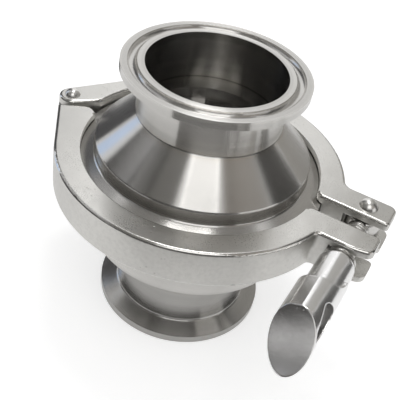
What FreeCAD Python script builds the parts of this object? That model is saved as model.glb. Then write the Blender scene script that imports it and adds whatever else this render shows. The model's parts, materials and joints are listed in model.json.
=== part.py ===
import FreeCAD
import Part

import math
import os

import Sketcher

# Spring-loaded sanitary non-return valve, two-inch size, in millimetres.
# +Z is the pipe axis and the flow, the origin is the centre of the inlet face,
# +X points from the clamp's hinge to its bolt, and the nut hangs out towards -Y.

doc = FreeCAD.newDocument("non_return_valve")
sheet = doc.addObject("Spreadsheet::Sheet", "Sizes")
rows = []


class Size:
    """A number together with the expression text that gives it from the sheet."""

    def __init__(self, value, text):
        self.value = float(value)
        self.text = text

    def __add__(self, other):
        other = as_size(other)
        return Size(self.value + other.value, "(" + self.text + " + " + other.text + ")")

    def __sub__(self, other):
        other = as_size(other)
        return Size(self.value - other.value, "(" + self.text + " - " + other.text + ")")

    def __mul__(self, other):
        other = as_size(other)
        return Size(self.value * other.value, "(" + self.text + " * " + other.text + ")")

    def __truediv__(self, other):
        other = as_size(other)
        return Size(self.value / other.value, "(" + self.text + " / " + other.text + ")")

    def __neg__(self):
        return Size(-self.value, "(0 - " + self.text + ")")

    def __radd__(self, other):
        return as_size(other) + self

    def __rsub__(self, other):
        return as_size(other) - self

    def __rmul__(self, other):
        return as_size(other) * self


def as_size(number):
    return number if isinstance(number, Size) else Size(number, repr(float(number)))


def tan(angle):
    return Size(math.tan(math.radians(angle.value)), "tan(" + angle.text + ")")


def cos(angle):
    return Size(math.cos(math.radians(angle.value)), "cos(" + angle.text + ")")


def sin(angle):
    return Size(math.sin(math.radians(angle.value)), "sin(" + angle.text + ")")


def root(square):
    return Size(math.sqrt(square.value), "sqrt(" + square.text + ")")


def size(name, value, note):
    """Put one driving size into the sheet and give it back for use."""
    rows.append(name)
    row = str(len(rows))
    sheet.set("A" + row, name)
    sheet.set("B" + row, str(value))
    sheet.setAlias("B" + row, name)
    sheet.set("C" + row, note)
    return Size(value, "Sizes." + name)


ZERO = Size(0, "0")

# Pipe ends: ferrules for a two-inch tube
bore_radius = size("bore_radius", 24.0, "inside of the pipe")
pipe_wall = size("pipe_wall", 1.5, "wall of the pipe")
rim_width = size("rim_width", 6.5, "pipe ferrule rim beyond the pipe")
rim_thickness = size("rim_thickness", 2.85, "straight edge of every ferrule rim")
back_angle = size("back_angle", 20.0, "slope of every ferrule back, degrees")
groove_place = size("groove_place", 4.0, "middle of the gasket groove from the bore")
groove_round = size("groove_round", 1.65, "half-round groove in a pipe face, its radius")
outlet_length = size("outlet_length", 17.7, "outlet ferrule from face to weld")
inlet_length = size("inlet_length", 20.75, "inlet ferrule from face to weld")
weld_line = size("weld_line", 0.25, "small chamfer either side of a weld line")
throat_length = size("throat_length", 4.8, "straight bore in a body beyond the weld")

# Valve bodies: cones that widen to a three-inch chamber
chest_radius = size("chest_radius", 38.14, "outside of the chamber wall")
chamber_wall = size("chamber_wall", 1.69, "wall of the chamber")
cone_angle = size("cone_angle", 45.0, "slope of the cones, degrees from the axis")
lower_wall = size("lower_wall", 19.9, "straight outside wall of the lower body")
upper_wall = size("upper_wall", 4.95, "straight outside wall of the upper body")
flange_width = size("flange_width", 7.36, "body flange beyond the chamber wall")
seal_thickness = size("seal_thickness", 1.6, "body seal between the flanges")
seal_groove_place = size("seal_groove_place", 3.9, "middle of the body seal's bead from the rim")
seal_groove_round = size("seal_groove_round", 1.5, "body seal groove, its radius")
bead_gap = size("bead_gap", 0.1, "seal bead to its groove")
shoulder_round = size("shoulder_round", 1.0, "fillets on the turned bodies")
hub_round = size("hub_round", 0.6, "fillet on the spider hub")

# Guide spider, bush and the moving plug
spider_lip_width = size("spider_lip_width", 2.35, "spider lip beyond the chamber's inside")
spider_lip_height = size("spider_lip_height", 2.0, "depth of that lip")
spider_ring_width = size("spider_ring_width", 2.85, "spider's ring inside the chamber")
spider_arm_width = size("spider_arm_width", 4.0, "spider arm")
spider_arm_height = size("spider_arm_height", 5.0, "spider arm along the axis")
spider_plate_radius = size("spider_plate_radius", 13.0, "spring plate of the spider")
spider_hub_radius = size("spider_hub_radius", 9.0, "spider hub")
spider_hub_height = size("spider_hub_height", 13.0, "spider hub from its spring plate")
seat_fit = size("seat_fit", 0.2, "radial gap of the spider lip in its recess")
bush_radius = size("bush_radius", 6.6, "outside of the guide bush")
bush_collar_radius = size("bush_collar_radius", 8.2, "collar of the guide bush")
bush_collar_height = size("bush_collar_height", 1.5, "collar of the guide bush")
press_gap = size("press_gap", 0.02, "radial gap of a pressed pin or bush")
running_gap = size("running_gap", 0.05, "radial gap of a turning or sliding fit")
stem_radius = size("stem_radius", 5.0, "valve stem")
stud_radius = size("stud_radius", 4.0, "threaded lower end of the stem")
stud_floor = size("stud_floor", 1.2, "disc below the stem's blind hole")
stem_above = size("stem_above", 2.5, "stem above the bush collar when closed")
plug_seal_round = size("plug_seal_round", 2.0, "section radius of the plug seal")
plug_seal_place = size("plug_seal_place", 1.6, "middle of the plug seal beyond the bore")
seat_gap = size("seat_gap", 0.06, "plug seal to its seat when closed")
groove_gap = size("groove_gap", 0.05, "plug seal to the walls of its groove")
disc_overlap = size("disc_overlap", 0.8, "valve disc beyond the bore")
disc_nose = size("disc_nose", 2.0, "valve disc below its seal groove")
disc_edge = size("disc_edge", 0.7, "straight edge of the valve disc")
retainer_overlap = size("retainer_overlap", 4.0, "plate that holds the plug seal, beyond the bore")
retainer_rim = size("retainer_rim", 2.4, "edge of that plate")
retainer_crown = size("retainer_crown", 2.0, "rise of the plate from its edge to the spring seat")
boss_radius = size("boss_radius", 9.4, "boss that centres the spring")
boss_height = size("boss_height", 1.4, "boss above the spring seat")
plug_nut_width = size("plug_nut_width", 13.0, "plug nut across flats")
plug_nut_height = size("plug_nut_height", 4.0, "plug nut along the axis")
hex_step = size("hex_step", 60.0, "corner to corner of a hexagon, degrees")
spring_radius = size("spring_radius", 11.0, "middle of the spring coil")
spring_wire_radius = size("spring_wire_radius", 0.8, "spring wire")
spring_end_gap = size("spring_end_gap", 0.05, "spring to its seats")
spring_turns = size("spring_turns", 5.0, "turns of the spring")

# Clamp in two hinged halves
clamp_wall = size("clamp_wall", 6.3, "wall of the clamp ring behind the flanges")
lip_overlap = size("lip_overlap", 2.4, "lips of the clamp over the flanges")
clamp_height = size("clamp_height", 14.2, "clamp along the axis")
clamp_gap = size("clamp_gap", 0.3, "clamp to flange backs and rim")
half_gap = size("half_gap", 0.35, "half the gap between the clamp halves at the hinge")
clamp_round = size("clamp_round", 1.1, "rounded outer edges of the castings")
hinge_reach = size("hinge_reach", 4.6, "hinge pin beyond the clamp ring")
back_relief = size("back_relief", 3.1, "back lips open by this much at the hinge")
back_relief_turn = size("back_relief_turn", 155.0, "where those lips start to open, degrees")
back_relief_end = size("back_relief_end", 140.0, "where those lips are whole again, degrees")
back_relief_round = size("back_relief_round", 5.0, "hollow inner corner of the back half at the hinge")
front_end_round = size("front_end_round", 4.0, "round inner corner of the front half at the hinge")
hinge_lobe = size("hinge_lobe", 5.0, "round end of the hinge ears and tongue")
hinge_gap = size("hinge_gap", 0.5, "free space round the hinge lobes")
hinge_ear = size("hinge_ear", 3.3, "thickness of a hinge ear")
tongue_gap = size("tongue_gap", 0.3, "hinge tongue to each ear, and bolt eye to each ear")
hinge_shoulder = size("hinge_shoulder", 7.3, "hinge pin to the shoulder beside it")
hinge_pin_radius = size("hinge_pin_radius", 2.2, "hinge pin")
hinge_head_radius = size("hinge_head_radius", 2.9, "domed heads of the hinge pin")
hinge_head_height = size("hinge_head_height", 2.1, "domed heads of the hinge pin")
lug_reach = size("lug_reach", 17.2, "lugs beyond the clamp ring")
lug_sink = size("lug_sink", 1.1, "lugs start this far inside the lips")
split_sink = size("split_sink", 11.6, "the cut between the lugs starts this far inside the lips")
back_gap = size("back_gap", 4.9, "back lug to the middle of the hinge")
front_gap = size("front_gap", 2.8, "front lug to the middle of the hinge")
gap_round = size("gap_round", 2.5, "round corner from the lips into the gap between the lugs")
gap_corner = size("gap_corner", 1.5, "corners of the lugs' ends at the gap")
back_lug_y = size("back_lug_y", 16.2, "outer face of the back lug")
front_lug_y = size("front_lug_y", 13.7, "outer face of the front lug, towards -Y")
lug_corner = size("lug_corner", 3.0, "round corners of the lugs")
back_blend = size("back_blend", 4.0, "hollow corner between the back lug and the ring")
front_blend = size("front_blend", 2.0, "hollow corner between the front lug and the ring")

# Eye bolt, pins, washer and nut
bolt_reach = size("bolt_reach", 8.0, "bolt pin beyond the clamp ring")
bolt_pin_y = size("bolt_pin_y", 10.5, "bolt pin, towards the back")
bolt_radius = size("bolt_radius", 3.9, "shank of the eye bolt")
bolt_length = size("bolt_length", 51.0, "eye bolt from its pin to its tip")
bolt_tip = size("bolt_tip", 0.8, "chamfer on the bolt's tip")
eye_radius = size("eye_radius", 6.3, "eye of the bolt")
eye_height = size("eye_height", 7.2, "eye of the bolt along its pin")
slot_side_gap = size("slot_side_gap", 1.2, "bolt to the closed end of its slot")
bolt_pin_radius = size("bolt_pin_radius", 2.6, "bolt pin")
bolt_head_radius = size("bolt_head_radius", 3.4, "domed heads of the bolt pin")
bolt_head_height = size("bolt_head_height", 2.5, "domed heads of the bolt pin")
washer_gap = size("washer_gap", 0.3, "washer to the front lug")
washer_radius = size("washer_radius", 5.7, "nut washer")
washer_thickness = size("washer_thickness", 1.2, "nut washer")
nut_gap = size("nut_gap", 0.1, "nut to its washer")
nut_hub_radius = size("nut_hub_radius", 6.3, "barrel of the nut")
nut_hub_length = size("nut_hub_length", 19.0, "barrel of the nut")
nut_dome = size("nut_dome", 2.2, "rounded shoulder of the barrel")
nut_handle_radius = size("nut_handle_radius", 7.2, "round handle of the nut")
nut_handle_rise = size("nut_handle_rise", 1.3, "axis of the handle above the bolt axis")
nut_handle_start = size("nut_handle_start", 10.7, "handle's near end")
nut_length = size("nut_length", 47.3, "nut from its washer face to its far end")
nut_flat = size("nut_flat", 8.3, "flat on the handle, above the bolt axis")
nut_scoop_round = size("nut_scoop_round", 7.3, "curved ledge behind the barrel, its radius")
nut_scoop_rise = size("nut_scoop_rise", 8.7, "centre of that ledge above the bolt axis")
nut_scoop_place = size("nut_scoop_place", 10.7, "centre of that ledge along the bolt axis")
nut_face_start = size("nut_face_start", 32.1, "where the oblique thumb face leaves the flat")
nut_face_dish = size("nut_face_dish", 60.0, "hollow of the thumb face, its radius")
window_near_rise = size("window_near_rise", 1.6, "near end of the window above the bolt axis")
window_near = size("window_near", 26.4, "near end of the window along the bolt axis")
window_far_rise = size("window_far_rise", -0.5, "far end of the window above the bolt axis")
window_far = size("window_far", 34.4, "far end of the window along the bolt axis")
window_round = size("window_round", 3.1, "half the width of the window")
nut_turn = 22.0

# Radii and distances from the pipe axis
neck_radius = bore_radius + pipe_wall
rim_radius = neck_radius + rim_width
groove_centre = bore_radius + groove_place
chamber_radius = chest_radius - chamber_wall
flange_radius = chest_radius + flange_width
seal_groove_centre = flange_radius - seal_groove_place
spider_lip_radius = chamber_radius + spider_lip_width
spider_ring_radius = chamber_radius - spider_ring_width
plug_seal_centre = bore_radius + plug_seal_place
disc_radius = bore_radius + disc_overlap
retainer_radius = bore_radius + retainer_overlap
clamp_outer = flange_radius + clamp_gap + clamp_wall
clamp_lip = flange_radius - lip_overlap
hinge_x = clamp_outer + hinge_reach
lug_end_x = clamp_outer + lug_reach
lug_root_x = clamp_lip - lug_sink
split_x = clamp_lip - split_sink
bolt_x = clamp_outer + bolt_reach

# Heights along the pipe axis, all from the sizes above
cone_height = (chest_radius - neck_radius) / tan(cone_angle)
inner_cone_height = (chamber_radius - bore_radius) / tan(cone_angle)
rim_back = (rim_radius - neck_radius) * tan(back_angle)
flange_back = (flange_radius - chest_radius) * tan(back_angle)
lower_chest_z = inlet_length + cone_height
lower_back_z = lower_chest_z + lower_wall
lower_rim_z = lower_back_z + flange_back
lower_face_z = lower_rim_z + rim_thickness
upper_face_z = lower_face_z + seal_thickness
upper_rim_z = upper_face_z + rim_thickness
upper_back_z = upper_rim_z + flange_back
upper_chest_z = upper_back_z + upper_wall
outlet_weld_z = upper_chest_z + cone_height
top_z = outlet_weld_z + outlet_length
clamp_mid_z = (lower_face_z + upper_face_z) / 2
clamp_low_z = clamp_mid_z - clamp_height / 2
clamp_high_z = clamp_mid_z + clamp_height / 2
seat_low_z = inlet_length + throat_length
outlet_throat_z = outlet_weld_z - throat_length


def origin_plane(body, role):
    return [item for item in body.Origin.OriginFeatures if item.Role == role][0]


def new_body(name):
    body = doc.addObject("PartDesign::Body", name)
    body.Label = name
    return body


def new_sketch(body, name, role, lift):
    """A sketch on one of the body's own origin planes, lifted along its normal."""
    sketch = body.newObject("Sketcher::SketchObject", name)
    sketch.AttachmentSupport = [(origin_plane(body, role), "")]
    sketch.MapMode = "FlatFace"
    if lift is not None:
        sketch.AttachmentOffset = FreeCAD.Placement(
            FreeCAD.Vector(0, 0, lift.value), FreeCAD.Rotation()
        )
        sketch.setExpression("AttachmentOffset.Base.z", lift.text)
    return sketch


def bind(sketch, kind, geometry, place, number):
    """Hold one coordinate of a sketch point at a size."""
    if number.text == "0":
        axis = -2 if kind == "DistanceX" else -1
        sketch.addConstraint(Sketcher.Constraint("PointOnObject", geometry, place, axis))
        return
    index = sketch.addConstraint(
        Sketcher.Constraint(kind, -1, 1, geometry, place, number.value)
    )
    sketch.setExpression("Constraints[" + str(index) + "]", number.text)


def bind_radius(sketch, geometry, number):
    index = sketch.addConstraint(Sketcher.Constraint("Radius", geometry, number.value))
    sketch.setExpression("Constraints[" + str(index) + "]", number.text)


def arc_curve(start, end, centre, radius, turn):
    """Arc from start to end about centre; turn is 1 for anticlockwise, -1 for clockwise."""
    first = math.atan2(start[1].value - centre[1].value, start[0].value - centre[0].value)
    last = math.atan2(end[1].value - centre[1].value, end[0].value - centre[0].value)
    if turn < 0:
        first, last = last, first
    middle = FreeCAD.Vector(centre[0].value, centre[1].value, 0)
    circle = Part.Circle(middle, FreeCAD.Vector(0, 0, 1), radius.value)
    return Part.ArcOfCircle(circle, first, last)


def outline(body, name, role, points, lift=None):
    """Closed sketch; each point is (x, y) or (x, y, centre, radius, turn) where an arc starts."""
    sketch = new_sketch(body, name, role, lift)
    points = [(as_size(p[0]), as_size(p[1])) + tuple(p[2:]) for p in points]
    count = len(points)
    arcs = [len(p) > 2 for p in points]
    starts = []
    ends = []
    for i in range(count):
        here = points[i]
        after = points[(i + 1) % count]
        if arcs[i]:
            curve = arc_curve(here, after, here[2], here[3], here[4])
            forward = here[4] > 0
        else:
            curve = Part.LineSegment(
                FreeCAD.Vector(here[0].value, here[1].value, 0),
                FreeCAD.Vector(after[0].value, after[1].value, 0),
            )
            forward = True
        sketch.addGeometry(curve, False)
        starts.append(1 if forward else 2)
        ends.append(2 if forward else 1)
    for i in range(count):
        after = (i + 1) % count
        sketch.addConstraint(
            Sketcher.Constraint("Coincident", i, ends[i], after, starts[after])
        )
    for i in range(count):
        if arcs[i]:
            centre = points[i][2]
            bind(sketch, "DistanceX", i, 3, as_size(centre[0]))
            bind(sketch, "DistanceY", i, 3, as_size(centre[1]))
            bind_radius(sketch, i, points[i][3])
    for i in range(count):
        touching = [k for k in (i, i - 1) if arcs[k]]
        if len(touching) == 0:
            bind(sketch, "DistanceX", i, starts[i], points[i][0])
            bind(sketch, "DistanceY", i, starts[i], points[i][1])
        if len(touching) == 1:
            centre = points[touching[0]][2]
            across = abs(points[i][0].value - centre[0].value)
            along = abs(points[i][1].value - centre[1].value)
            if along > across:
                bind(sketch, "DistanceX", i, starts[i], points[i][0])
            else:
                bind(sketch, "DistanceY", i, starts[i], points[i][1])
    return sketch


def ring(body, name, role, centre, radii, lift=None):
    """Sketch of one or more circles about one centre."""
    sketch = new_sketch(body, name, role, lift)
    for i, radius in enumerate(radii):
        middle = FreeCAD.Vector(centre[0].value, centre[1].value, 0)
        sketch.addGeometry(Part.Circle(middle, FreeCAD.Vector(0, 0, 1), radius.value), False)
        bind(sketch, "DistanceX", i, 3, centre[0])
        bind(sketch, "DistanceY", i, 3, centre[1])
        bind_radius(sketch, i, radius)
    return sketch


def revolve(body, name, sketch, cut=False):
    kind = "PartDesign::Groove" if cut else "PartDesign::Revolution"
    feature = body.newObject(kind, name)
    feature.Profile = sketch
    feature.ReferenceAxis = (sketch, ["V_Axis"])
    feature.Angle = 360.0
    sketch.Visibility = False
    return feature


def pad(body, name, sketch, length):
    feature = body.newObject("PartDesign::Pad", name)
    feature.Profile = sketch
    feature.Length = length.value
    feature.setExpression("Length", length.text)
    sketch.Visibility = False
    return feature


def pocket(body, name, sketch, length, along_normal=True):
    """Cut along the sketch's normal, or against it."""
    feature = body.newObject("PartDesign::Pocket", name)
    feature.Profile = sketch
    feature.Length = length.value
    feature.setExpression("Length", length.text)
    feature.Reversed = along_normal
    sketch.Visibility = False
    return feature


def edges_where(feature, test):
    """Names of a feature's edges that pass a test on their curve."""
    doc.recompute()
    edges = feature.Shape.Edges
    return ["Edge" + str(i + 1) for i in range(len(edges)) if test(edges[i])]


def fillet(body, name, base, test, radius):
    names = edges_where(base, test)
    if not names:
        raise ValueError("no edges for " + name)
    feature = body.newObject("PartDesign::Fillet", name)
    feature.Base = (base, names)
    feature.Radius = radius.value
    feature.setExpression("Radius", radius.text)
    return feature


def chamfer(body, name, base, test, length):
    names = edges_where(base, test)
    if not names:
        raise ValueError("no edges for " + name)
    feature = body.newObject("PartDesign::Chamfer", name)
    feature.Base = (base, names)
    feature.Size = length.value
    feature.setExpression("Size", length.text)
    return feature


NEAR = 0.02


def circle_at(radius, height):
    """Test for a full or part circle about an axis parallel to Z."""

    def test(edge):
        curve = edge.Curve
        if not isinstance(curve, Part.Circle):
            return False
        return abs(curve.Radius - radius.value) < NEAR and abs(curve.Center.z - height.value) < NEAR

    return test


def upright_at(x, y):
    """Test for a straight edge parallel to Z through a place in plan."""

    def test(edge):
        if not isinstance(edge.Curve, (Part.Line, Part.LineSegment)):
            return False
        first = edge.Vertexes[0].Point
        last = edge.Vertexes[-1].Point
        upright = abs(first.x - last.x) < NEAR and abs(first.y - last.y) < NEAR
        return upright and abs(first.x - x.value) < NEAR and abs(first.y - y.value) < NEAR

    return test


def place(item, x, y, z):
    """Put an item's own origin at a place of the valve."""
    item.Placement.Base = FreeCAD.Vector(x.value, y.value, z.value)
    item.setExpression("Placement.Base.x", x.text)
    item.setExpression("Placement.Base.y", y.text)
    item.setExpression("Placement.Base.z", z.text)


def inlet_ferrule():
    """Lower pipe end, its face on the floor plane."""
    body = new_body("inlet_ferrule")
    profile = outline(body, "inlet_profile", "XZ_Plane", [
        (bore_radius, ZERO),
        (rim_radius, ZERO),
        (rim_radius, rim_thickness),
        (neck_radius, rim_thickness + rim_back),
        (neck_radius, inlet_length - weld_line),
        (neck_radius - weld_line, inlet_length),
        (bore_radius, inlet_length),
    ])
    turned = revolve(body, "inlet_turned", profile)
    bead = ring(body, "inlet_groove_section", "XZ_Plane", (groove_centre, ZERO), [groove_round])
    grooved = revolve(body, "inlet_gasket_groove", bead, cut=True)
    fillet(body, "inlet_back_fillet", grooved,
           circle_at(neck_radius, rim_thickness + rim_back), shoulder_round)
    return body


def outlet_ferrule():
    """Upper pipe end with its gasket groove."""
    body = new_body("outlet_ferrule")
    rim_z = top_z - rim_thickness
    profile = outline(body, "outlet_profile", "XZ_Plane", [
        (bore_radius, outlet_weld_z),
        (neck_radius - weld_line, outlet_weld_z),
        (neck_radius, outlet_weld_z + weld_line),
        (neck_radius, rim_z - rim_back),
        (rim_radius, rim_z),
        (rim_radius, top_z),
        (bore_radius, top_z),
    ])
    turned = revolve(body, "outlet_turned", profile)
    bead = ring(body, "outlet_groove_section", "XZ_Plane", (groove_centre, top_z), [groove_round])
    grooved = revolve(body, "outlet_gasket_groove", bead, cut=True)
    fillet(body, "outlet_back_fillet", grooved,
           circle_at(neck_radius, rim_z - rim_back), shoulder_round)
    return body


def lower_body():
    """Chamber half with the conical seat and the recess for the guide spider."""
    body = new_body("lower_body")
    recess_z = lower_face_z - spider_lip_height
    recess_radius = spider_lip_radius + seat_fit
    profile = outline(body, "lower_body_profile", "XZ_Plane", [
        (bore_radius, inlet_length),
        (neck_radius - weld_line, inlet_length),
        (neck_radius, inlet_length + weld_line),
        (chest_radius, lower_chest_z),
        (chest_radius, lower_back_z),
        (flange_radius, lower_rim_z),
        (flange_radius, lower_face_z),
        (recess_radius, lower_face_z),
        (recess_radius, recess_z),
        (chamber_radius, recess_z),
        (chamber_radius, seat_low_z + inner_cone_height),
        (bore_radius, seat_low_z),
    ])
    turned = revolve(body, "lower_body_turned", profile)
    bead = ring(body, "lower_groove_section", "XZ_Plane",
                (seal_groove_centre, lower_face_z), [seal_groove_round])
    grooved = revolve(body, "lower_seal_groove", bead, cut=True)
    rounded = fillet(body, "lower_back_fillet", grooved,
                     circle_at(chest_radius, lower_back_z), shoulder_round)
    fillet(body, "lower_chest_fillet", rounded,
           circle_at(chest_radius, lower_chest_z), shoulder_round)
    return body


def upper_body():
    """Cone from the chamber to the outlet."""
    body = new_body("upper_body")
    profile = outline(body, "upper_body_profile", "XZ_Plane", [
        (chamber_radius, upper_face_z),
        (flange_radius, upper_face_z),
        (flange_radius, upper_rim_z),
        (chest_radius, upper_back_z),
        (chest_radius, upper_chest_z),
        (neck_radius, outlet_weld_z - weld_line),
        (neck_radius - weld_line, outlet_weld_z),
        (bore_radius, outlet_weld_z),
        (bore_radius, outlet_throat_z),
        (chamber_radius, outlet_throat_z - inner_cone_height),
    ])
    turned = revolve(body, "upper_body_turned", profile)
    bead = ring(body, "upper_groove_section", "XZ_Plane",
                (seal_groove_centre, upper_face_z), [seal_groove_round])
    grooved = revolve(body, "upper_seal_groove", bead, cut=True)
    rounded = fillet(body, "upper_back_fillet", grooved,
                     circle_at(chest_radius, upper_back_z), shoulder_round)
    fillet(body, "upper_chest_fillet", rounded,
           circle_at(chest_radius, upper_chest_z), shoulder_round)
    return body


def body_seal_ring():
    """Flat seal with a bead on each side, clamped between the flanges."""
    inner = chamber_radius + bead_gap
    outer = flange_radius - clamp_gap
    beads = []
    for name, height in (("seal_bead_low", lower_face_z), ("seal_bead_high", upper_face_z)):
        bead = doc.addObject("Part::Torus", name)
        bead.setExpression("Radius1", seal_groove_centre.text)
        bead.setExpression("Radius2", (seal_groove_round - bead_gap).text)
        place(bead, ZERO, ZERO, height)
        beads.append(bead)
    disc = doc.addObject("Part::Cylinder", "seal_disc")
    disc.setExpression("Radius", outer.text)
    disc.setExpression("Height", seal_thickness.text)
    place(disc, ZERO, ZERO, lower_face_z)
    joined = doc.addObject("Part::MultiFuse", "seal_joined")
    joined.Shapes = [disc] + beads
    hole = doc.addObject("Part::Cylinder", "seal_hole")
    hole.setExpression("Radius", inner.text)
    hole.setExpression("Height", (seal_thickness * 5).text)
    place(hole, ZERO, ZERO, lower_face_z - seal_thickness * 2)
    cut = doc.addObject("Part::Cut", "body_seal_ring")
    cut.Label = "body_seal_ring"
    cut.Base = joined
    cut.Tool = hole
    return cut


spider_low_z = lower_face_z - spider_lip_height
spider_hub_high_z = spider_low_z + spider_hub_height


def guide_spider():
    """Ring with three arms and a long hub, held in the lower flange by the seal."""
    body = new_body("guide_spider")
    lip = ring(body, "spider_lip_section", "XY_Plane", (ZERO, ZERO),
               [spider_lip_radius, spider_ring_radius], spider_low_z)
    pad(body, "spider_lip", lip, spider_lip_height)
    plate = ring(body, "spider_plate_section", "XY_Plane", (ZERO, ZERO),
                 [spider_plate_radius], spider_low_z)
    pad(body, "spider_plate", plate, spider_lip_height)
    hub = ring(body, "spider_hub_section", "XY_Plane", (ZERO, ZERO),
               [spider_hub_radius], spider_low_z)
    pad(body, "spider_hub", hub, spider_hub_height)
    half = spider_arm_width / 2
    arm_end = (spider_ring_radius + chamber_radius) / 2
    arm = outline(body, "spider_arm_section", "XY_Plane", [
        (spider_hub_radius - half, -half),
        (arm_end, -half),
        (arm_end, half),
        (spider_hub_radius - half, half),
    ], spider_low_z)
    first_arm = pad(body, "spider_arm", arm, spider_arm_height)
    doc.recompute()
    arms = body.newObject("PartDesign::PolarPattern", "spider_arms")
    arms.Originals = [first_arm]
    arms.Axis = (arm, ["N_Axis"])
    arms.Angle = 360.0
    arms.Occurrences = 3
    body.Tip = arms
    doc.recompute()
    bore = ring(body, "spider_bore_section", "XY_Plane", (ZERO, ZERO),
                [bush_radius + press_gap], spider_low_z)
    drilled = pocket(body, "spider_bore", bore, spider_hub_height + spider_arm_height)
    fillet(body, "spider_hub_fillet", drilled,
           circle_at(spider_hub_radius, spider_hub_high_z), hub_round)
    return body


def guide_bush():
    """Plain bearing bush with a collar, pressed into the spider's hub."""
    body = new_body("guide_bush")
    bore = stem_radius + running_gap
    profile = outline(body, "bush_profile", "XZ_Plane", [
        (bore, spider_low_z),
        (bush_radius, spider_low_z),
        (bush_radius, spider_hub_high_z),
        (bush_collar_radius, spider_hub_high_z),
        (bush_collar_radius, spider_hub_high_z + bush_collar_height),
        (bore, spider_hub_high_z + bush_collar_height),
    ])
    revolve(body, "bush_turned", profile)
    return body


# The plug seal touches the 45 degree seat, so its height follows from its radius
seal_reach = (plug_seal_round + seat_gap) / sin(cone_angle)
plug_seal_z = seat_low_z + (plug_seal_centre - bore_radius) / tan(cone_angle) + seal_reach
plug_groove_high = plug_seal_z + plug_seal_round + groove_gap
plug_groove_low = plug_seal_z - plug_seal_round - groove_gap
plug_core_radius = plug_seal_centre - plug_seal_round - groove_gap
disc_low_z = plug_groove_low - disc_nose
spring_seat_z = plug_groove_high + retainer_rim + retainer_crown
boss_top_z = spring_seat_z + boss_height
plug_nut_top_z = boss_top_z + plug_nut_height
stem_top_z = spider_hub_high_z + bush_collar_height + stem_above


def valve_disc():
    """Closing disc that carries the plug seal round its core."""
    body = new_body("valve_disc")
    hole = stud_radius + press_gap
    profile = outline(body, "disc_profile", "XZ_Plane", [
        (ZERO, disc_low_z),
        (disc_radius - disc_nose + disc_edge, disc_low_z),
        (disc_radius, plug_groove_low - disc_edge),
        (disc_radius, plug_groove_low),
        (plug_core_radius, plug_groove_low),
        (plug_core_radius, plug_groove_high),
        (hole, plug_groove_high),
        (hole, disc_low_z + stud_floor),
        (ZERO, disc_low_z + stud_floor),
    ])
    revolve(body, "disc_turned", profile)
    return body


def seal_retainer():
    """Crowned plate over the plug seal, with a boss that centres the spring."""
    body = new_body("seal_retainer")
    hole = stud_radius + press_gap
    spring_seat = spring_radius + spring_wire_radius * 3
    profile = outline(body, "retainer_profile", "XZ_Plane", [
        (hole, plug_groove_high),
        (retainer_radius, plug_groove_high),
        (retainer_radius, plug_groove_high + retainer_rim),
        (spring_seat, spring_seat_z),
        (boss_radius, spring_seat_z),
        (boss_radius, boss_top_z),
        (hole, boss_top_z),
    ])
    turned = revolve(body, "retainer_turned", profile)
    fillet(body, "retainer_edge_fillet", turned,
           circle_at(retainer_radius, plug_groove_high + retainer_rim), shoulder_round)
    return body


def valve_stem():
    """Stem with a stud that screws into the disc through the plate and the nut."""
    body = new_body("valve_stem")
    tip = shoulder_round
    profile = outline(body, "stem_profile", "XZ_Plane", [
        (ZERO, disc_low_z + stud_floor),
        (stud_radius, disc_low_z + stud_floor),
        (stud_radius, plug_nut_top_z),
        (stem_radius, plug_nut_top_z),
        (stem_radius, stem_top_z - tip),
        (stem_radius - tip, stem_top_z),
        (ZERO, stem_top_z),
    ])
    revolve(body, "stem_turned", profile)
    return body


def plug_seal():
    """Rubber ring that closes on the conical seat."""
    item = doc.addObject("Part::Torus", "plug_seal")
    item.Label = "plug_seal"
    item.setExpression("Radius1", plug_seal_centre.text)
    item.setExpression("Radius2", plug_seal_round.text)
    place(item, ZERO, ZERO, plug_seal_z)
    return item


def plug_nut():
    """Hexagon nut that locks the plate on the disc."""
    body = new_body("plug_nut")
    corner = plug_nut_width / cos(hex_step / 2) / 2
    points = []
    for i in range(6):
        angle = hex_step * i
        points.append((corner * cos(angle), corner * sin(angle)))
    blank = outline(body, "plug_nut_section", "XY_Plane", points, boss_top_z)
    pad(body, "plug_nut_blank", blank, plug_nut_height)
    bore = ring(body, "plug_nut_bore_section", "XY_Plane", (ZERO, ZERO),
                [stud_radius + press_gap], boss_top_z)
    pocket(body, "plug_nut_bore", bore, plug_nut_height)
    return body


def return_spring():
    """Compression spring from the plate to the spider, a row of tilted half-turn arcs."""
    low = spring_seat_z + spring_wire_radius + spring_end_gap
    high = spider_low_z - spring_wire_radius - spring_end_gap
    half_pitch = (high - low) / spring_turns / 2
    width = spring_radius * 2
    span = root(width * width + half_pitch * half_pitch)
    tilt = math.degrees(math.asin(half_pitch.value / span.value))
    up = FreeCAD.Vector(0, 0, 1)
    side = FreeCAD.Vector(0, 1, 0)
    arcs = []
    for i in range(int(spring_turns.value * 2)):
        arc = doc.addObject("Part::Torus", "spring_arc_" + str(i + 1))
        arc.setExpression("Radius1", (span / 2).text)
        arc.setExpression("Radius2", spring_wire_radius.text)
        arc.Angle3 = 180
        if i % 2 == 0:
            arc.Placement.Rotation = FreeCAD.Rotation(side, tilt)
        else:
            arc.Placement.Rotation = FreeCAD.Rotation(side, -tilt) * FreeCAD.Rotation(up, 180)
        place(arc, ZERO, ZERO, low + half_pitch * i + half_pitch / 2)
        arcs.append(arc)
    coil = doc.addObject("Part::MultiFuse", "return_spring")
    coil.Label = "return_spring"
    coil.Shapes = arcs
    return coil


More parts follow.
